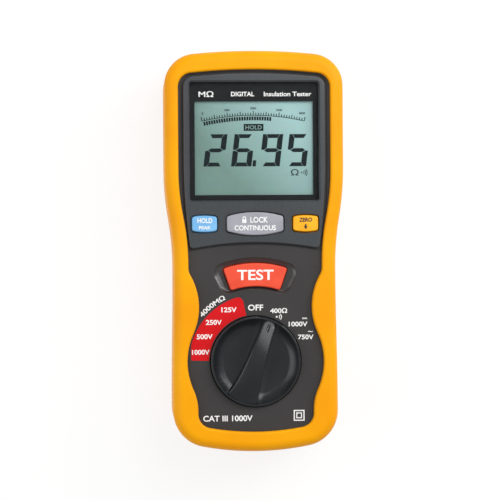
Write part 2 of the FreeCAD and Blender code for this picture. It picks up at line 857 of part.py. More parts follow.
def make_rear_cover():
    body = new_body("rear_cover")
    sketch = new_sketch(body, case_back)
    draw_symmetric(sketch, holster_outline(case_inset))
    pad(body, sketch, s.parting_height - case_back)
    round_edges(body, "Fillet", s.case_end_round, lambda spot, run: near(spot.z, case_back) and near(run.z, 0))
    sketch = new_sketch(body, floor)
    draw_symmetric(sketch, holster_outline(case_inset + s.side_wall))
    dig(body, sketch, s.parting_height - floor, up=True)
    sketch = new_sketch(body, floor)
    draw_box(sketch, 0, bay_middle, bay_width + s.bay_wall * 2, bay_length + s.bay_wall * 2)
    pad(body, sketch, bay_ceiling + s.bay_roof - floor)
    sketch = new_sketch(body, floor)
    for x, y in case_screw_sites():
        draw_circle(sketch, x, y, s.case_screw_head + s.piece_gap + s.head_boss_wall)
    pad(body, sketch, s.parting_height - floor)
    trough_foot = s.stand_place - s.stand_barrel - s.stand_side_gap
    trough_head = s.stand_place + s.stand_swing_room
    trough_top = s.stand_axis_level + s.stand_barrel + s.stand_side_gap
    trough_width = s.stand_width + s.stand_side_gap * 2
    sketch = new_sketch(body, floor)
    draw_box(sketch, 0, (trough_foot + trough_head) / 2, trough_width + (s.stand_pin_seat + s.side_wall) * 2,
             trough_head - trough_foot + s.side_wall * 2)
    pad(body, sketch, trough_top + s.rear_wall - floor)
    sketch = new_sketch(body, case_back)
    draw_box(sketch, 0, (trough_foot + trough_head) / 2, trough_width, trough_head - trough_foot)
    dig(body, sketch, trough_top - case_back, up=True)
    sketch = new_sketch(body, -(trough_width / 2 + s.stand_pin_seat), plane="YZ_Plane")
    draw_circle(sketch, s.stand_place, s.stand_axis_level, s.stand_pin)
    dig(body, sketch, trough_width + s.stand_pin_seat * 2, up=True)
    sketch = new_sketch(body, case_back)
    draw_box(sketch, 0, bay_middle, bay_width, bay_length)
    dig(body, sketch, bay_ceiling - case_back, up=True)
    sketch = new_sketch(body, floor)
    for sign in (-1, 1):
        draw_circle(sketch, s.door_screw_place * sign, door_screw_y, s.case_boss)
    pad(body, sketch, s.case_boss * 2)
    sketch = new_sketch(body, case_back)
    draw_box(sketch, 0, (door_foot + door_head) / 2, door_width, door_head - door_foot)
    dig(body, sketch, s.door_lip_thickness, up=True)
    sketch = new_sketch(body, case_back)
    for sign in (-1, 1):
        draw_circle(sketch, s.door_screw_place * sign, door_screw_y, s.case_screw)
    dig(body, sketch, s.rear_wall + s.case_boss * 1.5, up=True)
    sketch = new_sketch(body, case_back)
    for x, y in case_screw_sites():
        draw_circle(sketch, x, y, s.case_screw + s.piece_gap)
    dig(body, sketch, s.parting_height - case_back, up=True)
    sketch = new_sketch(body, case_back)
    for x, y in case_screw_sites():
        draw_circle(sketch, x, y, s.case_screw_head + s.piece_gap)
    dig(body, sketch, s.head_depth + s.piece_gap, up=True)
    end_opening(body)
    return body


def make_battery_cover():
    body = new_body("battery_cover")
    gap = s.door_gap
    sketch = new_sketch(body, case_back)
    draw_box(sketch, 0, (door_foot + door_head) / 2, door_width - gap * 2, door_head - door_foot - gap * 2)
    pad(body, sketch, s.door_lip_thickness)
    sketch = new_sketch(body, case_back + s.door_lip_thickness)
    draw_box(sketch, 0, bay_middle, bay_width - gap * 2, bay_length - gap * 2)
    pad(body, sketch, s.rear_wall - s.door_lip_thickness)
    sketch = new_sketch(body, case_back)
    for sign in (-1, 1):
        draw_circle(sketch, s.door_screw_place * sign, door_screw_y, s.case_screw + s.piece_gap)
    dig(body, sketch, s.door_lip_thickness, up=True)
    return body


# ---- Display ----


def make_display_fascia():
    body = new_body("display_fascia")
    sketch = new_sketch(body, fascia_seat)
    draw_fascia(sketch, as_size(0))
    pad(body, sketch, s.fascia_thickness)
    picked = upright_at(fascia_seat + s.fascia_thickness / 2)
    round_edges(body, "Fillet", s.fascia_foot_corner, lambda spot, run: picked(spot, run)
                and near(spot.y, s.fascia_foot))
    round_edges(body, "Fillet", s.fascia_edge, lambda spot, run: near(spot.z, fascia_face) and near(run.z, 0))
    sketch = new_sketch(body, fascia_face)
    draw_box(sketch, 0, view_middle, s.view_width, view_top - view_foot)
    dig(body, sketch, s.fascia_thickness)
    half = s.view_width / 2
    round_edges(body, "Fillet", s.view_corner, lambda spot, run: picked(spot, run)
                and near(abs(spot.x), half) and not near(spot.y, s.fascia_foot))
    round_edges(body, "Chamfer", s.view_chamfer, lambda spot, run: near(spot.z, fascia_face)
                and abs(spot.x) < half.value + 0.1 and view_foot.value - 0.1 < spot.y < view_top.value + 0.1)
    key_openings(body, fascia_face, s.fascia_thickness)
    return body


def make_window():
    # The clear lens and the printed sheet behind it, both under the rim of the raised panel.
    width = s.view_width + s.lens_overlap * 2
    height = view_top - view_foot + s.lens_overlap * 2
    keep(block("lens_plate", 0, view_middle, lens_back, width, height, s.lens_thickness), "window_lens")
    sheet_block = block("mask_sheet", 0, view_middle, mask_back, width, height, s.mask_thickness)
    hole = block("mask_hole", 0, (mask_foot + mask_top) / 2, mask_back, mask_width,
                 mask_top - mask_foot, s.mask_thickness)
    keep(cut("mask_cut", sheet_block, hole), "window_mask")


def make_display():
    # Glass on a light guide in a tray, with a contact strip at each end.
    height = glass_top - glass_foot
    light_back = glass_back - s.light_thickness
    keep(block("glass_plate", 0, glass_middle, glass_back, glass_width, height, s.glass_thickness), "lcd_glass")
    light_height = height - (s.strip_inset + s.strip_width + s.piece_gap) * 2
    keep(block("light_guide", 0, glass_middle, light_back, glass_width - s.piece_gap, light_height,
               s.light_thickness), "backlight")
    strips = []
    for sign in (-1, 1):
        y = glass_middle + (height / 2 - s.strip_inset - s.strip_width / 2) * sign
        strips.append(block("strip", 0, y, board_top, glass_width - s.frame_ledge * 4, s.strip_width,
                            glass_back - board_top))
    group("lcd_strips", strips)
    outer = (glass_width + (s.frame_wall + s.piece_gap) * 2, height + (s.frame_wall + s.piece_gap) * 2)
    tray = block("tray_outside", 0, glass_middle, board_top, *outer, glass_face - board_top)
    seat = block("tray_seat", 0, glass_middle, light_back, glass_width + s.piece_gap, height + s.piece_gap,
                 glass_face - light_back)
    well = block("tray_well", 0, glass_middle, board_top, glass_width - s.frame_ledge * 2,
                 height - s.strip_inset, light_back - board_top)
    keep(cut("tray", tray, fuse("tray_space", [seat, well])), "lcd_frame")


# ---- Keys ----

def make_small_keys():
    for label, x, (width, height, swell) in key_sites():
        body = new_body(label)
        flange_back = key_back - s.key_flange
        crown = fascia_face + s.key_stand_out
        sketch = new_sketch(body, flange_back)
        draw_key(sketch, width, height, swell)
        pad(body, sketch, crown - flange_back)
        picked = upright_at((crown + flange_back) / 2)
        round_edges(body, "Fillet", s.key_corner, picked)
        round_edges(body, "Fillet", s.key_edge, lambda spot, run: near(spot.z, crown) and near(run.z, 0))
        sketch = new_sketch(body, flange_back)
        draw_key(sketch, width, height, swell, s.key_flange_rim)
        pad(body, sketch, s.key_flange)
        sketch = new_sketch(body, key_switch_top + s.key_travel + s.key_rest)
        draw_circle(sketch, 0, 0, s.key_stem)
        pad(body, sketch, flange_back - key_switch_top - s.key_travel - s.key_rest)
        place(body, x, s.key_place)


switch_body = as_size(3.4)
switch_button = as_size(1.2)
key_switch_top = board_top + switch_body + switch_button


def make_test_key():
    body = new_body("test_key")
    flange_back = key_back - s.dish_depth - s.key_flange
    crown = face + s.test_stand_out
    sketch = new_sketch(body, flange_back)
    draw_sector(sketch, s.test_inner, s.test_outer, s.test_half_angle)
    pad(body, sketch, crown - flange_back)
    round_edges(body, "Fillet", s.test_corner, upright_at((crown + flange_back) / 2))
    round_edges(body, "Fillet", s.key_edge, lambda spot, run: near(spot.z, crown) and near(run.z, 0))
    sketch = new_sketch(body, flange_back)
    draw_sector(sketch, s.test_inner, s.test_outer, s.test_half_angle, s.key_flange_rim)
    pad(body, sketch, s.key_flange)
    stem_foot = key_switch_top + s.test_travel + s.key_rest
    sketch = new_sketch(body, stem_foot)
    draw_circle(sketch, 0, (s.test_inner + s.test_outer) / 2, s.key_stem)
    pad(body, sketch, flange_back - stem_foot)
    place(body, 0, s.knob_place)


def make_key_switches():
    sites = [(x, s.key_place) for _, x, _ in key_sites()]
    sites.append((as_size(0), s.knob_place + (s.test_inner + s.test_outer) / 2))
    for label, chosen in (("key_switches", sites[:3]), ("test_switch", sites[3:])):
        items = []
        for x, y in chosen:
            base = block("switch_base", x, y, board_top, 6, 6, switch_body)
            button = rod("switch_button", x, y, board_top + switch_body, 1.7, switch_button)
            items.append(fuse("switch", [base, button]))
        group(label, items)


# ---- Range switch ----

def make_knob():
    body = new_body("selector_knob")
    sketch = new_sketch(body, knob_back)
    draw_circle(sketch, 0, 0, s.knob_radius)
    pad(body, sketch, s.knob_rim_height)
    rim = knob_back + s.knob_rim_height
    sketch = new_sketch(body, rim - s.scoop_depth)
    draw_grip(sketch, s.knob_radius - s.grip_edge)
    pad(body, sketch, s.scoop_depth + s.knob_grip_height)
    crest = rim + s.knob_grip_height
    round_edges(body, "Fillet", s.grip_edge, lambda spot, run: near(spot.z, crest) and near(run.z, 0))
    for sign in (-1, 1):
        sketch = new_sketch(body, rim)
        draw_scoop(sketch, sign)
        dig(body, sketch, s.scoop_depth)
    sketch = new_sketch(body, rotor_top)
    draw_circle(sketch, 0, 0, s.shaft_radius)
    pad(body, sketch, knob_back - rotor_top)
    sketch = new_sketch(body, rotor_back + s.piece_gap)
    draw_box(sketch, 0, 0, s.shaft_square, s.shaft_square)
    pad(body, sketch, s.rotor_thickness - s.piece_gap)
    sketch = new_sketch(body, rotor_back + s.piece_gap)
    draw_circle(sketch, 0, 0, s.board_screw_hole)
    dig(body, sketch, s.rotor_thickness * 2, up=True)
    place(body, 0, s.knob_place)
    turn_to_rest(body)


def turn_to_rest(item):
    # Turns a piece of the knob from straight up to the setting where it rests.
    item.Placement.Rotation = FreeCAD.Rotation(FreeCAD.Vector(0, 0, 1), s.rest_angle.value)
    bind(item, "Placement.Rotation.Angle", s.rest_angle)
    return item


def grip_half_width(reach):
    # The grip widens evenly from its tip to its heel; reach runs from + at the tip to - at the heel.
    span = s.knob_radius * 2
    return s.grip_tip + (s.grip_heel - s.grip_tip) * (s.knob_radius - reach) / span


def draw_grip(sketch, reach):
    tip = grip_half_width(reach)
    heel = grip_half_width(-reach)
    far = root(reach * reach - tip * tip)
    near_end = -root(reach * reach - heel * heel)
    ring = Bow(0, 0, reach)
    draw_loop(sketch, [(tip, far), (heel, near_end), (-heel, near_end), (-tip, far)], [None, ring, None, ring])


def draw_scoop(sketch, sign):
    # One of the two hollows beside the grip, bounded by the rim.
    reach = s.knob_radius - s.knob_rim_width
    tip = grip_half_width(reach) + s.piece_gap * 2
    heel = grip_half_width(-reach) + s.piece_gap * 2
    far = root(reach * reach - tip * tip)
    close = -root(reach * reach - heel * heel)
    ring = Bow(0, 0, reach)
    if sign > 0:
        draw_loop(sketch, [(tip, far), (heel, close)], [ring, None])
    else:
        draw_loop(sketch, [(-heel, close), (-tip, far)], [ring, None])


def make_rotor():
    body = new_body("rotor")
    sketch = new_sketch(body, rotor_back)
    draw_circle(sketch, 0, 0, s.rotor_radius)
    pad(body, sketch, s.rotor_thickness)
    sketch = new_sketch(body, rotor_back)
    draw_box(sketch, 0, 0, s.shaft_square + s.square_fit, s.shaft_square + s.square_fit)
    dig(body, sketch, s.rotor_thickness, up=True)
    level = rotor_back + s.rotor_thickness / 2
    sketch = new_sketch(body, -s.rotor_radius - 1, plane="YZ_Plane")
    draw_circle(sketch, 0, level, spring_bore)
    dig(body, sketch, s.rotor_radius - detent_seat + 1, up=True)
    sketch = new_sketch(body, detent_seat, plane="YZ_Plane")
    draw_circle(sketch, 0, level, spring_bore)
    dig(body, sketch, s.rotor_radius - detent_seat + 1, up=True)
    place(body, 0, s.knob_place)
    turn_to_rest(body)


spring_bore = s.detent_ball - 0.2
detent_seat = as_size(6.4)


def make_knob_details():
    level = rotor_back + s.rotor_thickness / 2
    balls = []
    springs = []
    for sign in (-1, 1):
        ball = doc.addObject("Part::Sphere", "ball")
        bind(ball, "Radius", spring_bore - s.stand_pin_fit)
        balls.append(place(ball, s.detent_reach * sign, 0, level))
        length = s.detent_reach - detent_seat - s.detent_ball
        start = detent_seat if sign > 0 else -detent_seat - length
        outside = rod("spring_outside", start, 0, level, spring_bore - s.piece_gap, length, "x")
        inside = rod("spring_inside", start, 0, level, spring_bore - s.piece_gap - s.spring_wire, length, "x")
        springs.append(cut("spring", outside, inside))
    wipers = []
    for reach in (8.0, 11.0, 14.0):
        wipers.append(block("wiper", 0, -as_size(reach), board_top + s.wiper_lift, 5, 1.4,
                            s.rotor_lift - s.wiper_lift))
    head = rod("knob_screw_head", 0, 0, rotor_back - s.rotor_lift * 0.75, 2.3, s.rotor_lift * 0.75)
    thread = rod("knob_screw_thread", 0, 0, rotor_back, s.board_screw_hole, s.rotor_thickness * 1.8)
    pieces = [group("detent_balls", balls), group("detent_springs", springs), group("wiper_contacts", wipers),
              group("knob_screw", [fuse("knob_screw_solid", [head, thread])])]
    for piece in pieces:
        place(piece, 0, s.knob_place)
        turn_to_rest(piece)


def make_detent_ring():
    body = new_body("detent_ring")
    sketch = new_sketch(body, rotor_back)
    draw_circle(sketch, 0, 0, s.detent_ring_outer)
    draw_circle(sketch, 0, 0, s.detent_ring_inner)
    pad(body, sketch, well_back - rotor_back)
    sketch = new_sketch(body, rotor_back)
    draw_circle(sketch, 0, s.detent_reach + s.piece_gap * 2, s.detent_groove)
    groove = dig(body, sketch, s.rotor_thickness, up=True)
    pattern = body.newObject("PartDesign::PolarPattern", "grooves")
    pattern.Originals = [groove]
    pattern.Axis = ([item for item in body.Origin.OriginFeatures if item.Role == "Z_Axis"][0], [""])
    pattern.Angle = 360
    bind(pattern, "Occurrences", as_size(360) / s.detent_step)
    body.Tip = pattern
    place(body, 0, s.knob_place)


# ---- Main board ----

def make_main_board():
    body = new_body("main_board")
    inset = case_inset + s.side_wall + s.board_gap
    side = (s.head_width / 2 - inset) * 2
    sketch = new_sketch(body, board_level)
    draw_symmetric(sketch, holster_outline(inset))
    pad(body, sketch, s.board_thickness)
    sketch = new_sketch(body, board_level)
    board_head = block_back - s.board_gap
    draw_box(sketch, 0, board_head + end / 2, side + 2, end)
    dig(body, sketch, s.board_thickness, up=True)
    sketch = new_sketch(body, board_level)
    draw_box(sketch, 0, -(end - s.board_foot_gap) - end / 2, side + 2, end)
    dig(body, sketch, s.board_thickness, up=True)
    sketch = new_sketch(body, board_level)
    for sign in (-1, 1):
        draw_circle(sketch, head_screw_x * sign, head_screw_y, s.case_boss + s.board_gap)
    for x, y in board_screw_sites():
        draw_circle(sketch, x, y, s.board_screw_hole + s.piece_gap)
    draw_circle(sketch, 0, s.knob_place, s.shaft_radius)
    dig(body, sketch, s.board_thickness, up=True)


def make_board_screws():
    screws = []
    for x, y in board_screw_sites():
        head = rod("board_screw_head", x, y, board_level - s.head_depth, s.board_boss, s.head_depth)
        thread = rod("board_screw_thread", x, y, board_level, s.board_screw_hole,
                     s.board_thickness + s.board_boss * 2)
        screws.append(fuse("board_screw", [head, thread]))
    group("board_screws", screws)


def hung(name, x, y, width, depth, height):
    # A component on the underside of the board, in the room above the cells or beside the bay.
    return block(name, x, y, board_level - height, width, depth, height)


def make_board_parts():
    core_depth, core_height, foot = as_size(17), as_size(12), as_size(4)
    core = hung("core_outside", -21, 44, 20, core_depth, core_height)
    window = block("core_window", -21, 44, board_level - core_height + foot, 12, core_depth,
                   core_height - foot * 2)
    keep(cut("core", core, window), "transformer_core")
    coil = block("coil_outside", -21, 44, board_level - core_height + foot, 12, core_depth + 4,
                 core_height - foot * 2)
    keep(coil, "transformer_winding")
    relay = hung("relay_case", 4, 44, 15, 10, 12)
    keep(relay, "relay")
    caps = [rod("capacitor", x, y, board_level - 13, 4.5, 13) for x, y in ((20, 38), (20, 50))]
    group("smoothing_capacitors", caps)
    films = [hung("film", x, 61, 13, 5.5, 10) for x in (-20, -4, 12)]
    group("test_voltage_capacitors", films)
    keep(rod("buzzer_case", 24.5, bay_head + s.fuse_place, board_level - 6, 6, 6), "buzzer")
    chips = [block("chip", 0, 5, board_top, 12, 2.5, 1.2), hung("processor", 0, -10, 14, 14, 1.6),
             hung("converter", -20, -30, 10, 8, 1.6), hung("driver", 18, -34, 8, 6, 1.6)]
    group("chips", chips)
    resistors = [hung("resistor", -24 + 4 * step, -58, 2.6, 9, 2.6) for step in range(5)]
    group("range_resistors", resistors)
    make_fuse()


def make_fuse():
    # A glass cartridge fuse across the board, held at its caps by two clips.
    x, y = as_size(-10), bay_head + s.fuse_place
    level = board_level - 6
    start = x - s.fuse_length / 2
    glass = rod("fuse_glass", start, y, level, s.fuse_radius, s.fuse_length, "x")
    keep(glass, "fuse")
    clips = []
    for sign in (-1, 1):
        place_x = x + (s.fuse_length / 2 - 2.6) * sign
        plate = block("clip_plate", place_x, y, level - 2, 3.6, s.fuse_radius * 2 + 1.2, board_level - level + 2)
        bore = rod("clip_bore", place_x - 4, y, level, s.fuse_radius + s.stand_pin_fit, 8, "x")
        slot = block("clip_slot", place_x, y, level - 3, 5, s.fuse_radius * 1.4, 3)
        clips.append(cut("clip", plate, fuse("clip_space", [bore, slot])))
    group("fuse_clips", clips)


# ---- Sockets ----

def make_terminal_block():
    body = new_body("terminal_block")
    base = s.socket_level - s.block_height / 2
    sketch = new_sketch(body, base)
    draw_box(sketch, 0, block_front - s.block_depth / 2, block_width, s.block_depth)
    pad(body, sketch, s.block_height)
    sketch = new_end_sketch(body, block_front)
    for x in sockets:
        draw_circle(sketch, x, 0, s.shroud_radius)
    dig(body, sketch, s.block_depth - s.block_back_wall, up=True)
    sketch = new_end_sketch(body, block_front)
    for x in sockets:
        draw_circle(sketch, x, 0, s.socket_bore + s.socket_wall + s.contact_fit)
    dig(body, sketch, s.block_depth, up=True)


def make_socket_contacts():
    # Four plated tubes with a tail that is soldered to the underside of the board.
    outside = s.socket_bore + s.socket_wall
    front = block_front - s.contact_recess
    tubes = []
    for x in sockets:
        back = block_back - s.contact_tail
        shell = rod("contact_shell", x, back, s.socket_level, outside, front - back, "y")
        tail = block("contact_tab", x, back + s.contact_tail / 2 - s.board_gap, s.socket_level, 2,
                     s.contact_tail - s.board_gap * 2, board_level - s.socket_level)
        bore = rod("contact_bore", x, front - s.socket_depth, s.socket_level, s.socket_bore, s.socket_depth, "y")
        tubes.append(cut("contact", fuse("contact_body", [shell, tail]), bore))
    group("socket_contacts", tubes)


# ---- Cells ----

def make_cells():
    # Six cells across the bay, turned end for end one after another.
    springs = []
    plates = []
    half = bay_width / 2
    for index in range(6):
        y = s.bay_foot + s.bay_end_gap + cell_pitch * (index + 0.5)
        way = 1 if index % 2 else -1
        tip = half - s.contact_plate - s.piece_gap / 2
        can_end = tip - s.cell_nub
        tail_end = tip - s.cell_length
        can = rod("can", can_end * way if way < 0 else tail_end, y, cell_level, s.cell_radius,
                  s.cell_length - s.cell_nub, "x")
        nub = rod("nub", -tip if way < 0 else can_end, y, cell_level, s.cell_nub_radius, s.cell_nub, "x")
        keep(fuse("cell", [can, nub]), f"cell_{index + 1}")
        reach = tail_end + half - s.contact_plate
        start = -half + s.contact_plate if way > 0 else half - s.contact_plate - reach
        springs.append(make_spring(start, y, reach))
        for side in (-1, 1):
            x = (half - s.contact_plate / 2) * side
            plates.append(block("plate", x, y, cell_level - s.cell_radius * 0.7, s.contact_plate,
                                cell_pitch - 2, s.cell_radius * 1.4))
    group("battery_springs", springs)
    group("battery_plates", plates)


def make_spring(start, y, length):
    # An open coil of three turns between its plate and the flat end of a cell.
    wire = s.spring_wire
    rise = (length - wire * 2).value
    coil = Part.Wire(Part.makeLongHelix(rise / 3, rise, s.spring_radius.value).Edges)
    first = coil.Edges[0]
    begin = first.FirstParameter
    profile = Part.Wire(Part.makeCircle(wire.value, first.valueAt(begin), first.tangentAt(begin)))
    item = doc.addObject("Part::Feature", "battery_spring")
    item.Shape = coil.makePipeShell([profile], True, True)
    return place(item, start + wire, y, cell_level, TURNS["x"])


def make_battery_leads():
    # Two insulated leads from the bay's roof up to the board.
    roof = bay_ceiling + s.bay_roof
    leads = []
    for x in (-24, -20):
        leads.append(rod("lead", x, -14, roof, 0.8, board_level - roof))
    group("battery_leads", leads)


# ---- Case fasteners and stand ----

def make_screws():
    screws = []
    for x, y in case_screw_sites():
        head = rod("case_screw_head", x, y, case_back, s.case_screw_head, s.head_depth)
        thread = rod("case_screw_thread", x, y, case_back, s.case_screw, s.case_screw_length)
        screws.append(fuse("case_screw", [head, thread]))
    group("case_screws", screws)
    screws = []
    for sign in (-1, 1):
        x = s.door_screw_place * sign
        head_height = case_back - s.head_depth + s.rear_wall / 4
        head = rod("door_screw_head", x, door_screw_y, head_height, s.case_screw_head, case_back - head_height)
        thread = rod("door_screw_thread", x, door_screw_y, case_back, s.case_screw, s.case_boss)
        screws.append(fuse("door_screw", [head, thread]))
    group("battery_cover_screws", screws)


def make_tilt_stand():
    body = new_body("tilt_stand")
    sketch = new_sketch(body, s.stand_lift)
    draw_box(sketch, 0, s.stand_place - s.stand_length / 2, s.stand_width, s.stand_length)
    pad(body, sketch, s.stand_thickness)
    foot = s.stand_place - s.stand_length
    round_edges(body, "Fillet", s.back_window_corner, lambda spot, run: near(spot.y, foot)
                and near(run.x, 0) and near(run.y, 0))
    sketch = new_sketch(body, -s.stand_width / 2, plane="YZ_Plane")
    draw_circle(sketch, s.stand_place, s.stand_axis_level, s.stand_barrel)
    pad(body, sketch, s.stand_width)
    sketch = new_sketch(body, -s.stand_width / 2, plane="YZ_Plane")
    draw_circle(sketch, s.stand_place, s.stand_axis_level, s.stand_pin + s.stand_pin_fit)
    dig(body, sketch, s.stand_width, up=True)
    length = s.stand_width + (s.stand_side_gap + s.stand_pin_seat) * 2
    keep(rod("stand_pin_rod", -length / 2, s.stand_place, s.stand_axis_level, s.stand_pin, length, "x"),
         "stand_pin")


MAKERS = [
    make_holster, make_front_cover, make_rear_cover, make_battery_cover, make_display_fascia, make_window,
    make_display, make_small_keys, make_test_key, make_key_switches, make_knob, make_rotor,
    make_knob_details, make_detent_ring, make_main_board, make_board_screws, make_board_parts,
    make_terminal_block, make_socket_contacts, make_cells, make_battery_leads, make_screws, make_tilt_stand,
]


def check_model():
    faults = [item.Name for item in doc.Objects if "Invalid" in item.State or "Error" in item.State]
    for item in parts:
        if item.Shape.isNull() or not item.Shape.isValid():
            faults.append(item.Label)
    if faults:
        raise RuntimeError("faulty objects: " + ", ".join(faults))


for make in MAKERS:
    make()
doc.recompute()
check_model()
os.makedirs("parts", exist_ok=True)
for part in parts:
    part.Shape.exportStep(f"parts/{part.Label}.step")
    print(part.Label, len(part.Shape.Solids), round(part.Shape.Volume, 1))
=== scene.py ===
# An insulation resistance tester, lying face up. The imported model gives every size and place,
# and this script adds the finishes, the printed legends, the display's segments and the knob's grip.
import math

import bpy
from mathutils import Matrix, Vector


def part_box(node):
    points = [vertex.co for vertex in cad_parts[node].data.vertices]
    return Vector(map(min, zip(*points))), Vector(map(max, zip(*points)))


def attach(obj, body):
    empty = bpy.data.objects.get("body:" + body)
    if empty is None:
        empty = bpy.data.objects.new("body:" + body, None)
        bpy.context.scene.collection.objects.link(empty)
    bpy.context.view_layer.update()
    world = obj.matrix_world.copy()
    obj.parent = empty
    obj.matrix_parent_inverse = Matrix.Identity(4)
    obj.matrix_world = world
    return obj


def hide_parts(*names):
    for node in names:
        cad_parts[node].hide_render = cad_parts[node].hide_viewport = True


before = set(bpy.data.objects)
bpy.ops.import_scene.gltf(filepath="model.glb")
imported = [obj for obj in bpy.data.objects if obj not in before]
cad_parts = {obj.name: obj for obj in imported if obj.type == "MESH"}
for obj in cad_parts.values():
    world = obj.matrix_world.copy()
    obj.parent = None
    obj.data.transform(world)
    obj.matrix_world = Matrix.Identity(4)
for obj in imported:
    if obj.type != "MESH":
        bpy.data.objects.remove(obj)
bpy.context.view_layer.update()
print("loaded", len(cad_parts), "nodes")

mm = 0.001


def linear(code):
    # sRGB hex to the linear colour that a shader wants
    parts = [int(code[i:i + 2], 16) / 255 for i in (1, 3, 5)]
    return [c / 12.92 if c <= 0.04045 else ((c + 0.055) / 1.055) ** 2.4 for c in parts] + [1.0]


def addNode(tree, kind, settings=None, links=None):
    # lower-case names are the node's own choices, anything else is an input
    node = tree.nodes.new("ShaderNode" + kind)
    for key, value in (settings or {}).items():
        if isinstance(key, str) and key[0].islower():
            setattr(node, key, value)
        else:
            node.inputs[key].default_value = value
    for key, source in (links or {}).items():
        tree.links.new(source, node.inputs[key])
    return node


def patternScale(kind, size):
    # size is the spacing in millimetres; a wave texture repeats every 0.314 of its scale
    return (314 if kind == "TexWave" else 1000) / size


def newFinish(name, look):
    # two tones in a broad mottle, and a fine grain that lifts the surface and breaks up its gloss
    material = bpy.data.materials.new(name)
    material.use_nodes = True
    tree = material.node_tree
    tree.nodes.clear()
    place = addNode(tree, "TexCoord").outputs["Object"]
    place = addNode(tree, "Mapping", {"Scale": look.get("stretch", (1, 1, 1))},
                    {"Vector": place}).outputs["Vector"]
    mottle = addNode(tree, "TexNoise", {"Scale": patternScale("TexNoise", look["mottle"]), "Detail": 3.0},
                     {"Vector": place})
    kind = look.get("grainKind", "TexNoise")
    grain = addNode(tree, kind, {"Scale": patternScale(kind, look["grain"])}, {"Vector": place})
    height = grain.outputs["Distance" if kind == "TexVoronoi" else "Fac"]
    share = addNode(tree, "MapRange", {"From Min": 0.35, "From Max": 0.65}, {"Value": mottle.outputs["Fac"]})
    tone = addNode(tree, "Mix", {"data_type": "RGBA", 6: linear(look["dark"]), 7: linear(look["light"])},
                   {0: share.outputs["Result"]})
    if "grainTone" in look:
        tone = addNode(tree, "Mix", {"data_type": "RGBA", 7: linear(look["grainTone"])},
                       {0: height, 6: tone.outputs[2]})
    gloss = addNode(tree, "MapRange", {"From Min": 0.3, "From Max": 0.7, "To Min": look["rough"][0],
                                       "To Max": look["rough"][1]}, {"Value": height})
    relief = addNode(tree, "Bump", {"Strength": look.get("strength", 0.5), "Distance": look["depth"] * mm},
                     {"Height": height})
    shader = addNode(tree, "BsdfPrincipled", {"Metallic": look.get("metallic", 0.0),
                                              "IOR": look.get("ior", 1.5),
                                              "Specular IOR Level": look.get("specular", 0.5),
                                              "Coat Weight": look.get("coat", 0.0)},
                     {"Base Color": tone.outputs[2], "Roughness": gloss.outputs["Result"],
                      "Normal": relief.outputs["Normal"]})
    addNode(tree, "OutputMaterial", {}, {"Surface": shader.outputs["BSDF"]})
    return material


finishes = {}


def addFinish(slotName, name, **look):
    finishes[slotName] = newFinish(name, look)


# Overmoulded elastomer: a satin, slightly soft skin with a fine spark-eroded grain
addFinish("holster_rubber", "MouldedElastomer", dark="#F09C00", light="#F4A800", mottle=35, grain=0.45,
          depth=0.02, rough=(0.42, 0.5), ior=1.46, specular=0.16)
# ABS shell from a spark-eroded mould: matt grey with a fine even grain
addFinish("case_plastic", "MouldedAbs", dark="#353333", light="#3A3838", mottle=30, grain=0.4, depth=0.03,
          rough=(0.38, 0.46), specular=0.3)
# The same ABS where the mould is polished, in the scoop round the test key: a soft sheen on its slopes
addFinish("scoop_plastic", "PolishedAbs", dark="#353333", light="#3A3838", mottle=30, grain=0.5, depth=0.004,
          rough=(0.22, 0.28), specular=0.6)
# ABS display fascia, from a finer mould: a little lighter and smoother than the shell
addFinish("fascia_plastic", "SatinAbs", dark="#383C40", light="#3D4145", mottle=30, grain=0.35, depth=0.01,
          rough=(0.26, 0.33), specular=0.5)
# Nylon knob, moulded smooth: nearly black with a satin sheen in the finger hollows
addFinish("knob_plastic", "MouldedNylon", dark="#15171A", light="#1B1E21", mottle=14, grain=0.5, depth=0.008,
          rough=(0.24, 0.3))
# Screen-printed ink on the back of the lens: flat, dense black with the mesh's faint dots
addFinish("mask_print", "ScreenPrintedBlack", dark="#0E1013", light="#15171B", mottle=20, grain=0.3,
          depth=0.004, grainKind="TexVoronoi", rough=(0.4, 0.5), specular=0.2)
# Milky polycarbonate light guide behind the glass
addFinish("diffuser", "OpalPolycarbonate", dark="#DDE2DE", light="#E9EDE9", mottle=12, grain=0.6, depth=0.01,
          rough=(0.35, 0.45), ior=1.58)
# Zebra strips: carbon and silicone rubber in thin layers
addFinish("strip_rubber", "LayeredSilicone", dark="#3A3C40", light="#46484C", grainTone="#C9A9A0", mottle=4,
          grain=0.4, grainKind="TexWave", depth=0.005, rough=(0.5, 0.6))
# Glass-filled nylon block for the sockets: black, with a faint fibre figure
addFinish("block_nylon", "SocketNylon", dark="#1B1C1E", light="#27292B", mottle=7, grain=0.5, depth=0.02,
          rough=(0.42, 0.54), specular=0.4)
# White-filled polycarbonate tray that holds the display
addFinish("tray_plastic", "FilledPolycarbonate", dark="#C9CBC8", light="#D6D8D5", mottle=18, grain=0.5,
          depth=0.02, rough=(0.4, 0.5), ior=1.58)
# Silicone keypad caps, one colour each: soft and matt, with a very fine tooth
addFinish("blue_key", "BlueSilicone", dark="#6FAEE0", light="#7DBAEA", mottle=9, grain=0.4, depth=0.012,
          rough=(0.38, 0.46), ior=1.43)
addFinish("grey_key", "GreySilicone", dark="#92939B", light="#A0A1A9", mottle=12, grain=0.4, depth=0.012,
          rough=(0.38, 0.46), ior=1.43)
addFinish("amber_key", "AmberSilicone", dark="#F7A600", light="#FDB412", mottle=9, grain=0.4, depth=0.012,
          rough=(0.38, 0.46), ior=1.43)
addFinish("red_key", "RedSilicone", dark="#E2462C", light="#EE5434", mottle=12, grain=0.4, depth=0.012,
          rough=(0.36, 0.44), ior=1.43)
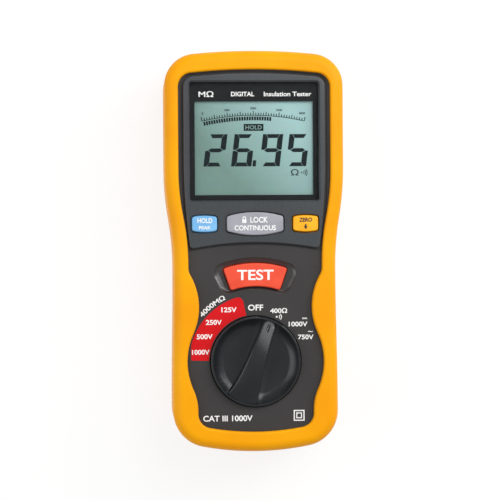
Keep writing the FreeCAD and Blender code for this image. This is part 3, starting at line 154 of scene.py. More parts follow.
# Glass-filled nylon of the small switches and the buzzer can: matt black with short fibres
addFinish("switch_plastic", "GlassFilledNylon", dark="#17181A", light="#232427", mottle=5, grain=0.25,
          depth=0.01, stretch=(1, 0.4, 1), rough=(0.5, 0.62))
# Acetal rotor and detent ring, machined-looking and slightly waxy
addFinish("acetal", "WaxyAcetal", dark="#E4E1D6", light="#EFECE2", mottle=10, grain=0.6, depth=0.008,
          rough=(0.28, 0.36), ior=1.48)
# Zinc-plated steel screws and balls: a bright, faintly blue plating with turning marks
addFinish("steel", "ZincPlatedSteel", dark="#A9AEB3", light="#C2C6CA", mottle=3, grain=0.15, depth=0.004,
          stretch=(1, 1, 3), metallic=1.0, rough=(0.25, 0.38))
# Cold-drawn spring steel: darker, with fine lines along the strip
addFinish("spring_steel", "DrawnSpringSteel", dark="#8C8F92", light="#B4B7B9", mottle=4, grain=0.12,
          depth=0.004, stretch=(0.3, 1, 1), metallic=1.0, rough=(0.28, 0.4))
# Turned brass contacts: yellow metal with rings from the lathe
addFinish("contact_brass", "TurnedBrass", dark="#C79A4B", light="#DDB564", mottle=3, grain=0.2,
          grainKind="TexWave", depth=0.004, metallic=1.0, rough=(0.2, 0.34))
# Glass-epoxy laminate under green resist: the cloth's weave shows through faintly
addFinish("board_laminate", "GlassEpoxyLaminate", dark="#0F5A39", light="#177048", grainTone="#2A8A5E",
          mottle=6, grain=0.6, grainKind="TexWave", depth=0.008, rough=(0.25, 0.35), ior=1.55, coat=0.3)
# Sintered ferrite: dull dark grey with open grains
addFinish("ferrite", "SinteredFerrite", dark="#2B2C2E", light="#3D3E40", mottle=2, grain=0.3, depth=0.03,
          grainKind="TexVoronoi", rough=(0.55, 0.7), ior=1.9)
# Enamelled copper wire, wound in close turns
addFinish("copper", "EnamelledCopper", dark="#A5512B", light="#C6713F", mottle=4, grain=0.35,
          grainKind="TexWave", depth=0.08, metallic=1.0, rough=(0.22, 0.36))
# Relay cover, pale glossy polyester
addFinish("relay_case", "GlossPolyester", dark="#D3D6D9", light="#E3E5E7", mottle=8, grain=0.5, depth=0.006,
          rough=(0.2, 0.28), ior=1.57)
# Shrink sleeve of the electrolytic capacitors: thin, glossy and slightly wavy
addFinish("capacitor_sleeve", "ShrinkSleeve", dark="#1B2A4E", light="#243765", mottle=6, grain=1.6,
          depth=0.03, rough=(0.18, 0.3), ior=1.54)
# Dipped film capacitors: thick lumpy lacquer
addFinish("film_case", "DippedLacquer", dark="#9C2B1E", light="#B8392A", mottle=4, grain=1.2, depth=0.05,
          rough=(0.15, 0.26), ior=1.55)
# Epoxy moulding of the chips: matt black with a laser-rough top
addFinish("chip_resin", "EpoxyMoulding", dark="#1C1D1F", light="#28292B", mottle=3, grain=0.12, depth=0.006,
          rough=(0.5, 0.65), ior=1.55)
# Lacquered resistor bodies, ringed with paler bands
addFinish("resistor_body", "BandedLacquer", dark="#C8A878", light="#D9BB8E", grainTone="#6B3A22", mottle=2,
          grain=1.8, grainKind="TexWave", depth=0.01, rough=(0.25, 0.35))
# Drawn glass of the fuse tube, seen against its sand filling
addFinish("fuse_glass", "SandFilledTube", dark="#D8D5CB", light="#ECE9E0", mottle=1.5, grain=0.35, depth=0.01,
          rough=(0.08, 0.18), ior=1.52, coat=0.5)
# Printed foil jacket of an alkaline cell: metallic ink under clear film, in broad bands
addFinish("cell_can", "PrintedFoilJacket", dark="#2B2D31", light="#34373B", grainTone="#B98A4A", mottle=10,
          grain=60, grainKind="TexWave", depth=0.002, metallic=0.6, rough=(0.2, 0.3), coat=0.4)
# PVC sleeve of the battery leads
addFinish("lead_sleeve", "PvcSleeve", dark="#A81A1A", light="#C32424", mottle=4, grain=0.5, depth=0.01,
          rough=(0.3, 0.42), ior=1.54)

# Pad-printed epoxy ink, one for each colour: opaque and flat, with a soft edge of orange-peel
addFinish("white_ink", "WhitePadInk", dark="#E9E9E7", light="#F6F6F4", mottle=3, grain=0.3, depth=0.003,
          rough=(0.4, 0.5))
addFinish("red_ink", "RedPadInk", dark="#C8070F", light="#D20E16", mottle=12, grain=0.35, depth=0.006,
          rough=(0.4, 0.5), specular=0.2)
addFinish("dark_ink", "DarkPadInk", dark="#2A2320", light="#352C27", mottle=3, grain=0.3, depth=0.003,
          rough=(0.4, 0.5))
# Liquid crystal turned on: near-black teal, flat behind the polariser
addFinish("lit_segment", "DrivenCrystal", dark="#07161A", light="#0D2026", mottle=6, grain=0.4, depth=0.002,
          rough=(0.4, 0.46), specular=0.1)
addFinish("clear_segment", "RestingCrystal", dark="#86A299", light="#93AFA6", mottle=6, grain=0.4,
          depth=0.002, rough=(0.4, 0.46), specular=0.1)


def displayGlass(look):
    # Liquid-crystal cell with a polariser and a reflector: grey-green, with painted light that makes it paler
    # towards the upper right, where the lamps hang
    material = bpy.data.materials.new("LiquidCrystalCell")
    material.use_nodes = True
    tree = material.node_tree
    tree.nodes.clear()
    place = addNode(tree, "TexCoord").outputs["Object"]
    # painted light: the colour runs from the painted shade at the lower left to the painted lit side at the
    # upper right
    along = addNode(tree, "VectorMath", {"operation": "DOT_PRODUCT", 1: look["towards"]}, {0: place})
    share = addNode(tree, "MapRange", {"From Min": look["from"], "From Max": look["to"]},
                    {"Value": along.outputs["Value"]})
    tone = addNode(tree, "ValToRGB", {}, {"Fac": share.outputs["Result"]})
    tone.color_ramp.elements[0].color = linear(look["low"])
    tone.color_ramp.elements[1].color = linear(look["high"])
    fleck = addNode(tree, "TexNoise", {"Scale": patternScale("TexNoise", look["fleck"]), "Detail": 2.0},
                    {"Vector": place})
    tint = addNode(tree, "Mix", {"data_type": "RGBA", "blend_type": "SOFT_LIGHT", 0: 0.12},
                   {6: tone.outputs["Color"], 7: fleck.outputs["Color"]})
    relief = addNode(tree, "Bump", {"Strength": 0.2, "Distance": 0.003 * mm},
                     {"Height": fleck.outputs["Fac"]})
    shader = addNode(tree, "BsdfPrincipled", {"Roughness": 0.42, "Specular IOR Level": 0.2},
                     {"Base Color": tint.outputs[2], "Normal": relief.outputs["Normal"]})
    addNode(tree, "OutputMaterial", {}, {"Surface": shader.outputs["BSDF"]})
    return material


def clearLens(look):
    # Injection-moulded acrylic with a hard coat: clear, and its polished face shows mostly at a slant
    material = bpy.data.materials.new("PolishedAcrylic")
    material.use_nodes = True
    tree = material.node_tree
    tree.nodes.clear()
    place = addNode(tree, "TexCoord").outputs["Object"]
    ripple = addNode(tree, "TexNoise", {"Scale": patternScale("TexNoise", look["ripple"])}, {"Vector": place})
    relief = addNode(tree, "Bump", {"Strength": 0.1, "Distance": 0.01 * mm},
                     {"Height": ripple.outputs["Fac"]})
    clear = addNode(tree, "BsdfTransparent", {"Color": linear(look["tint"])})
    gloss = addNode(tree, "BsdfGlossy", {"Roughness": look["roughness"]},
                    {"Normal": relief.outputs["Normal"]})
    slant = addNode(tree, "LayerWeight", {"Blend": 0.5})
    steep = addNode(tree, "Math", {"operation": "POWER", 1: 5.0}, {0: slant.outputs["Facing"]})
    mirror = addNode(tree, "Math", {"operation": "MULTIPLY_ADD", 1: 1 - look["headOn"], 2: look["headOn"]},
                     {0: steep.outputs["Value"]})
    shader = addNode(tree, "MixShader", {}, {0: mirror.outputs["Value"], 1: clear.outputs["BSDF"],
                                             2: gloss.outputs["BSDF"]})
    addNode(tree, "OutputMaterial", {}, {"Surface": shader.outputs["Shader"]})
    return material


# low is the colour of the painted shaded end of the display, high the colour of its painted lit end
finishes["display_glass"] = displayGlass({"low": "#84A298", "high": "#B9DBDA", "towards": (0.6, 0.5, 0),
                                          "from": 0.012, "to": 0.045, "fleck": 4})
finishes["lens_acrylic"] = clearLens({"tint": "#F6F8F8", "roughness": 0.03, "headOn": 0.022, "ripple": 30})

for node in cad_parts.values():
    for slot in node.material_slots:
        slot.material = finishes[slot.material.name]
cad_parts["terminal_block"].material_slots[0].material = finishes["block_nylon"]
print("finished the packed nodes with", len(finishes), "materials")


def pickNone():
    bpy.ops.object.select_all(action="DESELECT")


def finishPiece(piece, name, body, slotName):
    # gives a new piece its name, its finish and the body that it rides on
    piece.name = name
    piece.data.name = name
    piece.data.materials.clear()
    piece.data.materials.append(finishes[slotName])
    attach(piece, body)
    return piece


low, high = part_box("selector_knob")
knob = {"centre": ((low.x + high.x) / 2, (low.y + high.y) / 2), "bottom": low.z, "top": high.z,
        "radius": (high.x - low.x) / 2, "rim": 45.6 * mm, "ring": 1.1 * mm, "edge": 0.4 * mm,
        "hollow": 3.2 * mm, "fall": 0.6 * mm, "cove": 5.4 * mm, "turn": -20,
        "tipHalf": 3.3 * mm, "heelHalf": 8.1 * mm, "tipStart": 17.8 * mm, "shoulder": 0.9 * mm,
        "draft": 0.5 * mm,
        "crown": 0.3 * mm, "arch": 3.6 * mm, "highest": 1.0 * mm, "dentAt": 17.7 * mm, "dentWide": 0.75 * mm,
        "dentLong": 2.0 * mm, "dent": 0.6 * mm, "rows": 120}


def knobColumns(y):
    # one row across half the knob, from the middle of the grip to the foot of the skirt
    reach = knob["radius"] - knob["ring"]
    outer = math.sqrt(max(knob["radius"] ** 2 - y * y, 0))
    inner = math.sqrt(max(reach ** 2 - y * y, 0))
    rim = knob["rim"]
    along = max(0, min(1, (20 * mm - y) / (40 * mm)))
    half = knob["tipHalf"] + 2.4 * mm * along + (knob["heelHalf"] - knob["tipHalf"] - 2.4 * mm) * along ** 5
    crest = knob["top"] - knob["arch"] * (abs(y - knob["highest"]) / (20 * mm)) ** 2
    end = max(0, (y - knob["tipStart"]) / (reach - knob["tipStart"]))
    half *= math.sqrt(max(0, 1 - end ** 3.2))
    fade = math.sqrt(max(0, 1 - max(end, min(1, -y / reach) ** 14 if y < 0 else 0) ** 2))
    crest = rim + (crest - rim) * fade
    half = min(half, inner)
    corner = min(knob["shoulder"], half, crest - rim + 0.2 * mm)
    row = []
    for step in (0, 0.15, 0.3, 0.45, 0.6, 0.75, 1.1, 1.6, 2.2):
        x = min(step * mm, half - corner)
        dip = 1 - (x / knob["dentWide"]) ** 2 - ((y - knob["dentAt"]) / knob["dentLong"]) ** 2
        row.append((x, crest - knob["crown"] * (x / (4 * mm)) ** 2
                    - knob["dent"] * math.sqrt(max(0, dip)) * fade))
    shelf = crest - knob["crown"] * (max(0, half - corner) / (4 * mm)) ** 2
    for angle in (0, 25, 50, 75):
        turn = math.radians(angle)
        row.append((half - corner + corner * math.sin(turn), shelf - corner * (1 - math.cos(turn))))
    foot = min(half + knob["draft"], inner)
    for step in range(15):
        x = foot + (inner - foot) * (step / 14) ** 0.9
        depth = (reach - math.hypot(x, y)) / knob["cove"]
        wall = 1 - 0.12 * math.exp(-((x - foot) / (1.1 * mm)) ** 2)
        slope = max(0, min(1, depth))
        level = rim - knob["hollow"] * wall * (1 - (1 - slope) ** 1.8)
        row.append((x, level - knob["fall"] * wall * min(1, max(0, depth - 1) / 2)))
    row.append(((inner + outer) / 2, rim))
    edge = min(knob["edge"], outer)
    for angle in (0, 30, 60, 90):
        turn = math.radians(angle)
        row.append((outer - edge + edge * math.sin(turn), rim - edge * (1 - math.cos(turn))))
    row.append((outer, knob["bottom"] + 0.3 * mm))
    row.append((max(0, outer - 0.3 * mm), knob["bottom"]))
    return row


def makeKnob():
    # a grid whose columns follow the grip, the finger hollows, the rim and the skirt
    half = knobColumns(0)
    across = len(half) * 2 - 1
    rows = knob["rows"]
    pickNone()
    bpy.ops.mesh.primitive_grid_add(x_subdivisions=across - 1, y_subdivisions=rows, size=2)
    piece = bpy.context.object
    spots = sorted(piece.data.vertices, key=lambda spot: (round(spot.co.y, 4), spot.co.x))
    turn = Matrix.Rotation(math.radians(knob["turn"]), 3, "Z")
    for number, spot in enumerate(spots):
        row, column = divmod(number, across)
        y = knob["radius"] * math.sin(math.pi * (row / rows - 0.5))
        right = knobColumns(y)
        x, z = right[abs(column - len(half) + 1)]
        place = turn @ Vector((math.copysign(x, column - len(half) + 1), y, z))
        spot.co = (place.x + knob["centre"][0], place.y + knob["centre"][1], place.z)
    bpy.ops.object.mode_set(mode="EDIT")
    bpy.ops.mesh.select_all(action="SELECT")
    bpy.ops.mesh.remove_doubles(threshold=0.01 * mm)
    bpy.ops.mesh.select_all(action="DESELECT")
    bpy.ops.mesh.select_non_manifold()
    bpy.ops.mesh.edge_face_add()
    bpy.ops.mesh.select_all(action="SELECT")
    bpy.ops.mesh.normals_make_consistent(inside=False)
    bpy.ops.object.mode_set(mode="OBJECT")
    bpy.ops.object.shade_smooth_by_angle(angle=math.radians(38))
    finishPiece(piece, "gripKnob", "knob", "knob_plastic")
    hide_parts("selector_knob")
    print("made the knob with", len(piece.data.polygons), "faces")


makeKnob()

hollow = {"outer": (36.2, 51.5, 25.5, 5.0), "key": (36.75, 49.65, 19.96, 1.85), "floor": 41.8, "lift": 0.06,
          "rise": 0.9, "run": 3.0, "steps": 12, "sideSteps": 14, "cornerSteps": 8}


def bandOutline(inner, outer, halfTurn, corner):
    # a sector of a ring with rounded corners, sampled alike whatever its size
    halfWide = math.radians(halfTurn) * (inner + outer) / 2
    halfTall = (outer - inner) / 2
    spots = []
    for number, (across, along) in enumerate(((1, 1), (-1, 1), (-1, -1), (1, -1))):
        for step in range(hollow["cornerSteps"] + 1):
            turn = math.radians(90 * (number + step / hollow["cornerSteps"]))
            spots.append((across * (halfWide - corner) + corner * math.cos(turn),
                          along * (halfTall - corner) + corner * math.sin(turn)))
        following = ((-1, 1), (-1, -1), (1, -1), (1, 1))[number]
        last = spots[-1]
        turn = math.radians(90 * (number + 1))
        goal = (following[0] * (halfWide - corner) + corner * math.cos(turn),
                following[1] * (halfTall - corner) + corner * math.sin(turn))
        for step in range(1, hollow["sideSteps"]):
            share = step / hollow["sideSteps"]
            spots.append((last[0] + (goal[0] - last[0]) * share, last[1] + (goal[1] - last[1]) * share))
    spots.append(spots[0])
    middleReach = (inner + outer) / 2
    return [((middleReach + v) * math.sin(u / middleReach), (middleReach + v) * math.cos(u / middleReach))
            for u, v in spots]


def makeTestHollow():
    # the smooth scoop that dips from the panel to the test key, closed underneath
    outer, inner = bandOutline(*hollow["outer"]), bandOutline(*hollow["key"])
    profile = [(step / hollow["steps"], None) for step in range(hollow["steps"] + 1)]
    profile += [(1, hollow["floor"]), (0.5, hollow["floor"]), (0, hollow["floor"]), (0, None)]
    pickNone()
    bpy.ops.mesh.primitive_grid_add(x_subdivisions=len(outer) - 1, y_subdivisions=len(profile) - 1, size=2)
    piece = bpy.context.object
    spots = sorted(piece.data.vertices, key=lambda spot: (round(spot.co.y, 4), spot.co.x))
    for number, spot in enumerate(spots):
        row, column = divmod(number, len(outer))
        share, level = profile[row]
        (fromX, fromY), (toX, toY) = outer[column], inner[column]
        away = math.hypot(toX - fromX, toY - fromY) * share
        if level is None:
            level = hollow["floor"] + hollow["lift"] + hollow["rise"] * max(0, 1 - away / hollow["run"]) ** 2
        spot.co = ((fromX + (toX - fromX) * share) * mm + knob["centre"][0],
                   (fromY + (toY - fromY) * share) * mm + knob["centre"][1], level * mm)
    bpy.ops.object.mode_set(mode="EDIT")
    bpy.ops.mesh.select_all(action="SELECT")
    bpy.ops.mesh.remove_doubles(threshold=0.002 * mm)
    bpy.ops.mesh.normals_make_consistent(inside=False)
    bpy.ops.object.mode_set(mode="OBJECT")
    bpy.ops.object.shade_smooth_by_angle(angle=math.radians(40))
    finishPiece(piece, "testHollow", "case", "case_plastic")
    piece.data.materials[0] = finishes["scoop_plastic"]
    print("made the hollow round the test key")


makeTestHollow()


def spread(piece, move):
    # sends every vertex of a piece through a move that takes and gives millimetres
    for spot in piece.data.vertices:
        spot.co = [value * mm for value in move(*[value / mm for value in spot.co])]


def finishPrint(piece, name, body, ink):
    piece.name = name
    piece.data.name = name
    piece.data.materials.clear()
    piece.data.materials.append(finishes[ink])
    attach(piece, body)
    return piece


def addLegend(name, text, spot, height, width=None, body="case", ink="white_ink", turn=0, weight=0.012,
              bend=None):
    # text made a mesh, fitted to its cap height and width, and laid on the surface at spot
    pickNone()
    bpy.ops.object.text_add()
    lettering = bpy.context.object.data
    lettering.body = text
    lettering.offset = weight
    lettering.extrude = 1
    lettering.resolution_u = 4
    bpy.ops.object.convert(target="MESH")
    piece = bpy.context.object
    corners = [Vector(corner) for corner in piece.bound_box]
    left, right = min(c.x for c in corners), max(c.x for c in corners)
    foot, top = min(c.y for c in corners), max(c.y for c in corners)
    tall = height / (top - foot)
    wide = width / (right - left) if width else tall
    angle = math.radians(turn)

    def move(x, y, z):
        x = (x * mm - (left + right) / 2) * wide
        y = (y * mm - (foot + top) / 2) * tall
        z = spot[2] + z * mm * printing["thick"]
        if bend:
            around = math.radians(bend) + x / spot[3]
            return (spot[0] + (spot[3] + y) * math.sin(around), spot[1] + (spot[3] + y) * math.cos(around), z)
        return (spot[0] + x * math.cos(angle) - y * math.sin(angle),
                spot[1] + x * math.sin(angle) + y * math.cos(angle), z)

    spread(piece, move)
    return finishPrint(piece, name, body, ink)


def addPlates(name, outlines, level, body="case", ink="white_ink"):
    # thin printed shapes, each from a flat disc whose rim is moved to its outline
    pickNone()
    made = []
    for outline in outlines:
        bpy.ops.mesh.primitive_circle_add(vertices=len(outline), radius=mm, fill_type="NGON")
        shape = bpy.context.object
        for spot, (x, y) in zip(shape.data.vertices, outline):
            spot.co = (x * mm, y * mm, level * mm)
        made.append(shape)
    for shape in made:
        shape.select_set(True)
    bpy.context.view_layer.objects.active = made[0]
    if len(made) > 1:
        bpy.ops.object.join()
    piece = bpy.context.object
    bpy.ops.object.mode_set(mode="EDIT")
    bpy.ops.mesh.select_all(action="SELECT")
    bpy.ops.mesh.extrude_region_move(TRANSFORM_OT_translate={"value": (0, 0, printing["thick"] * mm)})
    bpy.ops.mesh.select_all(action="SELECT")
    bpy.ops.mesh.normals_make_consistent(inside=False)
    bpy.ops.object.mode_set(mode="OBJECT")
    return finishPrint(piece, name, body, ink)


def ring(x, y, radius, start, stop, thick, steps=14):
    # part of a round stroke, angles clockwise from straight up
    turns = [math.radians(start + (stop - start) * step / steps) for step in range(steps + 1)]
    outer = [(x + (radius + thick / 2) * math.sin(turn),
              y + (radius + thick / 2) * math.cos(turn)) for turn in turns]
    inner = [(x + (radius - thick / 2) * math.sin(turn),
              y + (radius - thick / 2) * math.cos(turn)) for turn in turns]
    return outer + inner[::-1]


def frameStrokes(x, y, side, thick):
    # a square outline in four bars
    half, line = side / 2, thick
    return [[(x - half, y + half - line), (x + half, y + half - line), (x + half, y + half),
             (x - half, y + half)],
            [(x - half, y - half), (x + half, y - half), (x + half, y - half + line),
             (x - half, y - half + line)],
            [(x - half, y - half + line), (x - half + line, y - half + line),
             (x - half + line, y + half - line), (x - half, y + half - line)],
            [(x + half - line, y - half + line), (x + half, y - half + line), (x + half, y + half - line),
             (x + half - line, y + half - line)]]


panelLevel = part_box("front_cover")[1].z / mm
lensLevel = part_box("window_lens")[1].z / mm
keyLevel = {key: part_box(key)[1].z / mm for key in ("hold_key", "lock_key", "zero_key", "test_key")}
printing = {"thick": 0.04, "redInner": 23.3, "redOuter": 33.2, "redStart": 11.5, "redEnd": 88.8,
            "redCorner": 3.0, "redLimit": -32.2, "redSteps": 60}
middle = (knob["centre"][0] / mm, knob["centre"][1] / mm)


def paintRedZone():
    # the insulation ranges' band round the knob, with one rounded corner
    outer, inner = [], []
    for step in range(printing["redSteps"] + 1):
        share = (step / printing["redSteps"]) ** 1.5
        angle = math.radians(printing["redStart"] + (printing["redEnd"] - printing["redStart"]) * share)
        fromEnd = (angle - math.radians(printing["redStart"])) * printing["redOuter"]
        corner = printing["redCorner"]
        short = corner - math.sqrt(max(0, corner ** 2 - max(0, corner - fromEnd) ** 2))
        reach = printing["redOuter"] - short
        outer.append((max(printing["redLimit"], middle[0] - reach * math.sin(angle)),
                      middle[1] + reach * math.cos(angle)))
        inner.append((middle[0] - printing["redInner"] * math.sin(angle),
                      middle[1] + printing["redInner"] * math.cos(angle)))
    addPlates("redZone", [outer + inner[::-1]], panelLevel, ink="red_ink")


paintRedZone()
ranges = [("OFF", 0.1, 26.8, 3.0, 7.6, 0), ("400Ω", 11.6, 25.2, 2.5, 8.5, 0),
          ("1000V", 21.3, 18.4, 2.4, 9.4, 0),
          ("750V", 25.1, 11.9, 2.4, 7.8, 0), ("125V", -13.2, 25.8, 2.5, 7.6, 1),
          ("250V", -20.8, 19.6, 2.5, 7.9, 1),
          ("500V", -25.4, 12.5, 2.5, 7.9, 1), ("1000V", -27.4, 4.8, 2.5, 8.7, 1)]
for number, (text, x, y, height, width, raised) in enumerate(ranges):
    addLegend("range%d" % (number + 1), text, (middle[0] + x, middle[1] + y,
                                               panelLevel + raised * printing["thick"]),
              height, width, weight=0.024)
addLegend("mostRange", "4000MΩ", (middle[0], middle[1], panelLevel, 35.6), 2.6, 15.2, bend=-37.9,
          weight=0.022)
addLegend("steadyMark", "⎓", (middle[0] + 24.6, middle[1] + 21.2, panelLevel), 0.7, 2.4)
addLegend("waveMark", "~", (middle[0] + 27.4, middle[1] + 14.6, panelLevel), 0.7, 2.4)
addPlates("beepMark", [ring(middle[0] + 11.2, middle[1] + 22.1, radius, 40, 140, 0.4) for radius in (0.9,
                                                                                                     1.8)]
          + [ring(middle[0] + 10.6, middle[1] + 22.1, 0.25, 0, 360, 0.45)], panelLevel)
addLegend("category", "CAT III 1000V", (-14.1, -83.3, panelLevel), 2.9, 24.6, weight=0.02)
addPlates("doubleInsulation", frameStrokes(21.5, -82.2, 5.4, 0.55) + frameStrokes(21.5, -82.2, 2.9, 0.5),
          panelLevel)
print("printed the panel")

addLegend("typeName", "Insulation Tester", (16.9, 78.3, lensLevel), 2.3, 23.8, weight=0.018)
addLegend("kindName", "DIGITAL", (-5.6, 78.3, lensLevel), 2.3, 11.6, weight=0.022)
addLegend("unitMark", "MΩ", (-23.9, 78.3, lensLevel), 2.9, 7.4, weight=0.012)
addLegend("testWord", "TEST", (0, -11.9, keyLevel["test_key"]), 5.2, 18.2, body="test_key_cap", weight=0.02)
print("printed the lens and the keys")

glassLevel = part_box("lcd_glass")[1].z / mm
readout = {"value": "26.95", "left": (-25.3, -11.5, 2.7, 16.0), "foot": 42.35, "tall": 16.1, "wide": 10.2,
           "upright": 2.7, "level": 1.95, "gap": 0.16, "mitre": 1.5, "lean": 7.0, "point": (-0.8, 1.7, 3.0)}
lit = {"2": "abged", "6": "acdefg", "9": "abcdfg", "5": "acdfg"}
dial = {"start": (-25.8, 65.0), "end": (25.4, 65.0), "top": 67.9, "ticks": 40, "long": 2.1, "middle": 1.9,
        "short": 1.3,
        "stroke": 0.42, "band": 0.32, "bars": 27, "barWide": 0.95, "barTall": 1.9, "barDrop": 0.6}


def digitOutlines(figure, left):
    # the seven strokes of one figure, with mitred ends and a small gap, leaning to the right
    tall, wide, side, bar, gap, cut = (readout[key] for key in ("tall", "wide", "upright", "level", "gap",
                                                                "mitre"))
    half = tall / 2
    strokes = {
        "a": [(cut + gap, tall), (wide - cut - gap, tall), (wide - side - gap, tall - bar),
              (side + gap, tall - bar)],
        "d": [(cut + gap, 0), (side + gap, bar), (wide - side - gap, bar), (wide - cut - gap, 0)],
        "g": [(side * 0.45 + gap, half), (side + gap, half + bar / 2), (wide - side - gap, half + bar / 2),
              (wide - side * 0.45 - gap, half), (wide - side - gap, half - bar / 2),
              (side + gap, half - bar / 2)],
        "f": [(0, tall), (cut, tall), (side, tall - bar), (side, half + bar / 2 + gap),
              (side * 0.45, half + gap), (0, half + gap * 2)],
        "e": [(0, 0), (0, half - gap * 2), (side * 0.45, half - gap), (side, half - bar / 2 - gap),
              (side, bar), (cut, 0)]}
    for right, twin in (("b", "f"), ("c", "e")):
        strokes[right] = [(wide - x, y) for x, y in strokes[twin]]
    lean = math.tan(math.radians(readout["lean"]))
    return [[(left + x + y * lean, readout["foot"] + y) for x, y in strokes[key]] for key in lit[figure]]


def dialOutlines():
    # an arc of ticks, with solid bars under it as far as the reading
    (startX, startY), (endX, _) = dial["start"], dial["end"]
    half, rise = (endX - startX) / 2, dial["top"] - startY
    radius = (half ** 2 + rise ** 2) / (2 * rise)
    centre = ((startX + endX) / 2, dial["top"] - radius)
    sweep = math.asin(half / radius)

    def stroke(turn, inner, outer, wide):
        across = (math.cos(turn) * wide / 2, -math.sin(turn) * wide / 2)
        ends = [(centre[0] + reach * math.sin(turn), centre[1] + reach * math.cos(turn)) for reach in (inner,
                                                                                                       outer)]
        return [(x + side * across[0], y + side * across[1]) for (x, y), side in
                zip(ends + ends[::-1], (-1, -1, 1, 1))]

    shapes = []
    for step in range(dial["ticks"] + 1):
        size = dial["long"] if step % 10 == 0 else dial["middle"] if step % 5 == 0 else dial["short"]
        shapes.append(stroke(sweep * (2 * step / dial["ticks"] - 1), radius, radius + size, dial["stroke"]))
    for step in range(dial["bars"]):
        shapes.append(stroke(sweep * (2 * (step + 0.7) / dial["ticks"] - 1),
                             radius - dial["barDrop"] - dial["barTall"],
                             radius - dial["barDrop"], dial["barWide"]))
    shapes.append(ring(centre[0], centre[1], radius, -math.degrees(sweep), math.degrees(sweep), dial["band"],
                       40))
    return shapes


figures = []
for figure, left in zip(readout["value"].replace(".", ""), readout["left"]):
    figures += digitOutlines(figure, left)
x, wide, tall = readout["point"]
figures.append([(x, readout["foot"]), (x + wide, readout["foot"]), (x + wide + 0.3, readout["foot"] + tall),
                (x + 0.3, readout["foot"] + tall)])
addPlates("litFigures", figures, glassLevel, ink="lit_segment")
addPlates("litDial", dialOutlines(), glassLevel, ink="lit_segment")
addPlates("holdFlag", [[(-5.0, 60.1), (4.9, 60.1), (4.9, 63.6), (-5.0, 63.6)]], glassLevel, ink="lit_segment")
addLegend("holdFlagWord", "HOLD", (-0.05, 61.85, glassLevel + printing["thick"]), 2.1, 8.2,
          ink="clear_segment", weight=0.02)
for number, (text, x, y) in enumerate((("0", -25.6, 68.9), ("1000", -13.4, 70.5), ("2000", -0.2, 71.4),
                                       ("3000", 12.8, 70.5), ("4000", 24.3, 68.9))):
    addLegend("dialNumber%d" % (number + 1), text, (x, y, glassLevel), 1.15, ink="lit_segment", weight=0.02)
addLegend("ohmSign", "Ω", (20.5, 39.3, glassLevel), 3.2, 3.9, ink="lit_segment", weight=0.008)
addPlates("beepSign", [ring(24.1, 39.2, radius, 50, 130, 0.35) for radius in (1.0, 1.8, 2.6)]
          + [ring(23.9, 39.2, 0.2, 0, 360, 0.35)], glassLevel, ink="lit_segment")
print("lit the display")


def lockOutlines(x, y):
    # a small padlock: a solid body under a round shackle
    body = [(x - 1.05, y - 1.5), (x + 1.05, y - 1.5), (x + 1.05, y + 0.2), (x - 1.05, y + 0.2)]
    legs = [[(x + side * 0.65 - 0.2, y + 0.2), (x + side * 0.65 + 0.2, y + 0.2),
             (x + side * 0.65 + 0.2, y + 0.9), (x + side * 0.65 - 0.2, y + 0.9)] for side in (-1, 1)]
    return [body] + legs + [ring(x, y + 0.9, 0.65, -90, 90, 0.4)]


def middleOf(key):
    # the middle of a key's top face
    low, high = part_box(key)
    return ((low.x + high.x) / 2 / mm, (low.y + high.y) / 2 / mm, high.z / mm)


x, y, level = middleOf("hold_key")
addLegend("holdWord", "HOLD", (x + 0.2, y + 1.6, level), 2.5, 7.4, body="hold_key_cap", weight=0.03)
addLegend("holdSecond", "PEAK", (x + 0.2, y - 1.9, level), 1.7, 6.0, body="hold_key_cap", weight=0.03)
x, y, level = middleOf("lock_key")
addLegend("lockWord", "LOCK", (x + 2.0, y + 1.9, level), 2.9, 8.8, body="lock_key_cap", weight=0.025)
addLegend("lockSecond", "CONTINUOUS", (x, y - 2.1, level), 2.6, 20.6, body="lock_key_cap", weight=0.025)
addPlates("lockMark", lockOutlines(x - 5.4, y + 1.9), level, body="lock_key_cap")
x, y, level = middleOf("zero_key")
addLegend("zeroWord", "ZERO", (x, y + 1.8, level), 2.1, 6.5, body="zero_key_cap", ink="dark_ink", weight=0.04)
addPlates("zeroMark", [[(x - 1.0, y - 1.3), (x + 1.0, y - 1.3), (x, y - 3.1)],
                       [(x - 0.35, y - 0.3), (x + 0.35, y - 0.3), (x + 0.35, y - 1.3), (x - 0.35, y - 1.3)]],
                       level,
          body="zero_key_cap", ink="dark_ink")
print("printed the small keys")


# The room: a pale floor, a large soft lamp and a smaller one to the upper right, and a weak one to the left.
room = {"floor": "#FFFFFF", "floorShow": 0.82, "world": 0.44,
        "lamps": [("key", (0.32, 0.42, 0.75), 0.7, 4.85),
                  ("side", (0.72, 0.4, 0.5), 0.35, 2.7), ("fill", (-0.6, -0.05, 0.55), 0.6, 1.9)]}


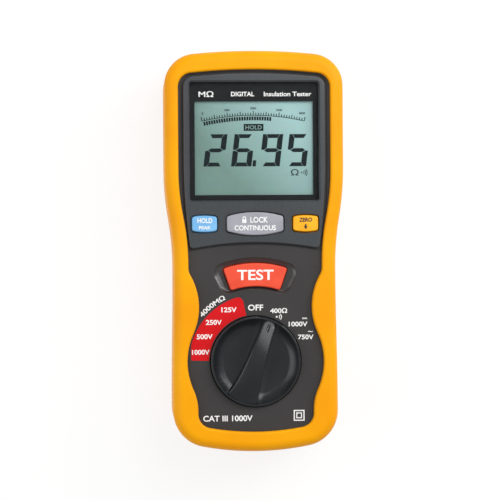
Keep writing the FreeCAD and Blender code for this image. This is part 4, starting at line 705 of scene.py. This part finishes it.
def layFloor():
    bpy.ops.object.select_all(action="DESELECT")
    bpy.ops.mesh.primitive_grid_add(x_subdivisions=4, y_subdivisions=4, size=6)
    floor = bpy.context.object
    floor.name = "floor"
    material = bpy.data.materials.new("paleFloor")
    material.use_nodes = True
    tree = material.node_tree
    tree.nodes.clear()
    rays = addNode(tree, "LightPath")
    seen = addNode(tree, "Math", {"operation": "MAXIMUM"}, {0: rays.outputs["Is Camera Ray"],
                                                             1: rays.outputs["Is Glossy Ray"]})
    seen = addNode(tree, "Math", {"operation": "MAXIMUM"}, {0: seen.outputs[0],
                                                             1: rays.outputs["Is Transmission Ray"]})
    share = addNode(tree, "Math", {"operation": "MULTIPLY", 1: room["floorShow"]}, {0: seen.outputs[0]})
    paint = addNode(tree, "BsdfDiffuse", {"Color": linear(room["floor"])})
    glow = addNode(tree, "Emission", {"Color": linear(room["floor"]), "Strength": 1.0})
    shown = addNode(tree, "MixShader", {}, {0: share.outputs[0], 1: paint.outputs[0], 2: glow.outputs[0]})
    addNode(tree, "OutputMaterial", {}, {"Surface": shown.outputs[0]})
    floor.data.materials.append(material)


def hangLamps():
    for name, spot, size, power in room["lamps"]:
        lamp = bpy.data.lights.new(name, "AREA")
        lamp.shape = "SQUARE"
        lamp.size = size
        lamp.energy = power
        thing = bpy.data.objects.new(name, lamp)
        bpy.context.scene.collection.objects.link(thing)
        thing.location = spot
        thing.rotation_euler = (Vector((0, 0, 0.04)) - Vector(spot)).to_track_quat("-Z", "Y").to_euler()
    world = bpy.data.worlds.new("studio")
    world.use_nodes = True
    world.node_tree.nodes["Background"].inputs["Color"].default_value = (1, 1, 1, 1)
    world.node_tree.nodes["Background"].inputs["Strength"].default_value = room["world"]
    bpy.context.scene.world = world


view = {"target": (-0.0025, 0.0005, 0.043), "distance": 0.897, "aside": 3.7, "above": 0.0, "roll": -0.4,
        "lens": 129.6}


def setCamera():
    camera = bpy.data.cameras.new("camera")
    camera.lens = view["lens"]
    camera.sensor_width = 36
    camera.clip_start = 0.05
    thing = bpy.data.objects.new("camera", camera)
    bpy.context.scene.collection.objects.link(thing)
    turn = (Matrix.Rotation(math.radians(-view["aside"]), 4,
                            "Y") @ Matrix.Rotation(math.radians(view["above"]), 4, "X")
            @ Matrix.Rotation(math.radians(view["roll"]), 4, "Z"))
    thing.matrix_world = Matrix.Translation(view["target"]) @ turn @ Matrix.Translation((0, 0,
                                                                                         view["distance"]))
    bpy.context.scene.camera = thing


layFloor()
hangLamps()
setCamera()
bpy.context.scene.view_settings.view_transform = "Standard"
print("set the room and the camera")
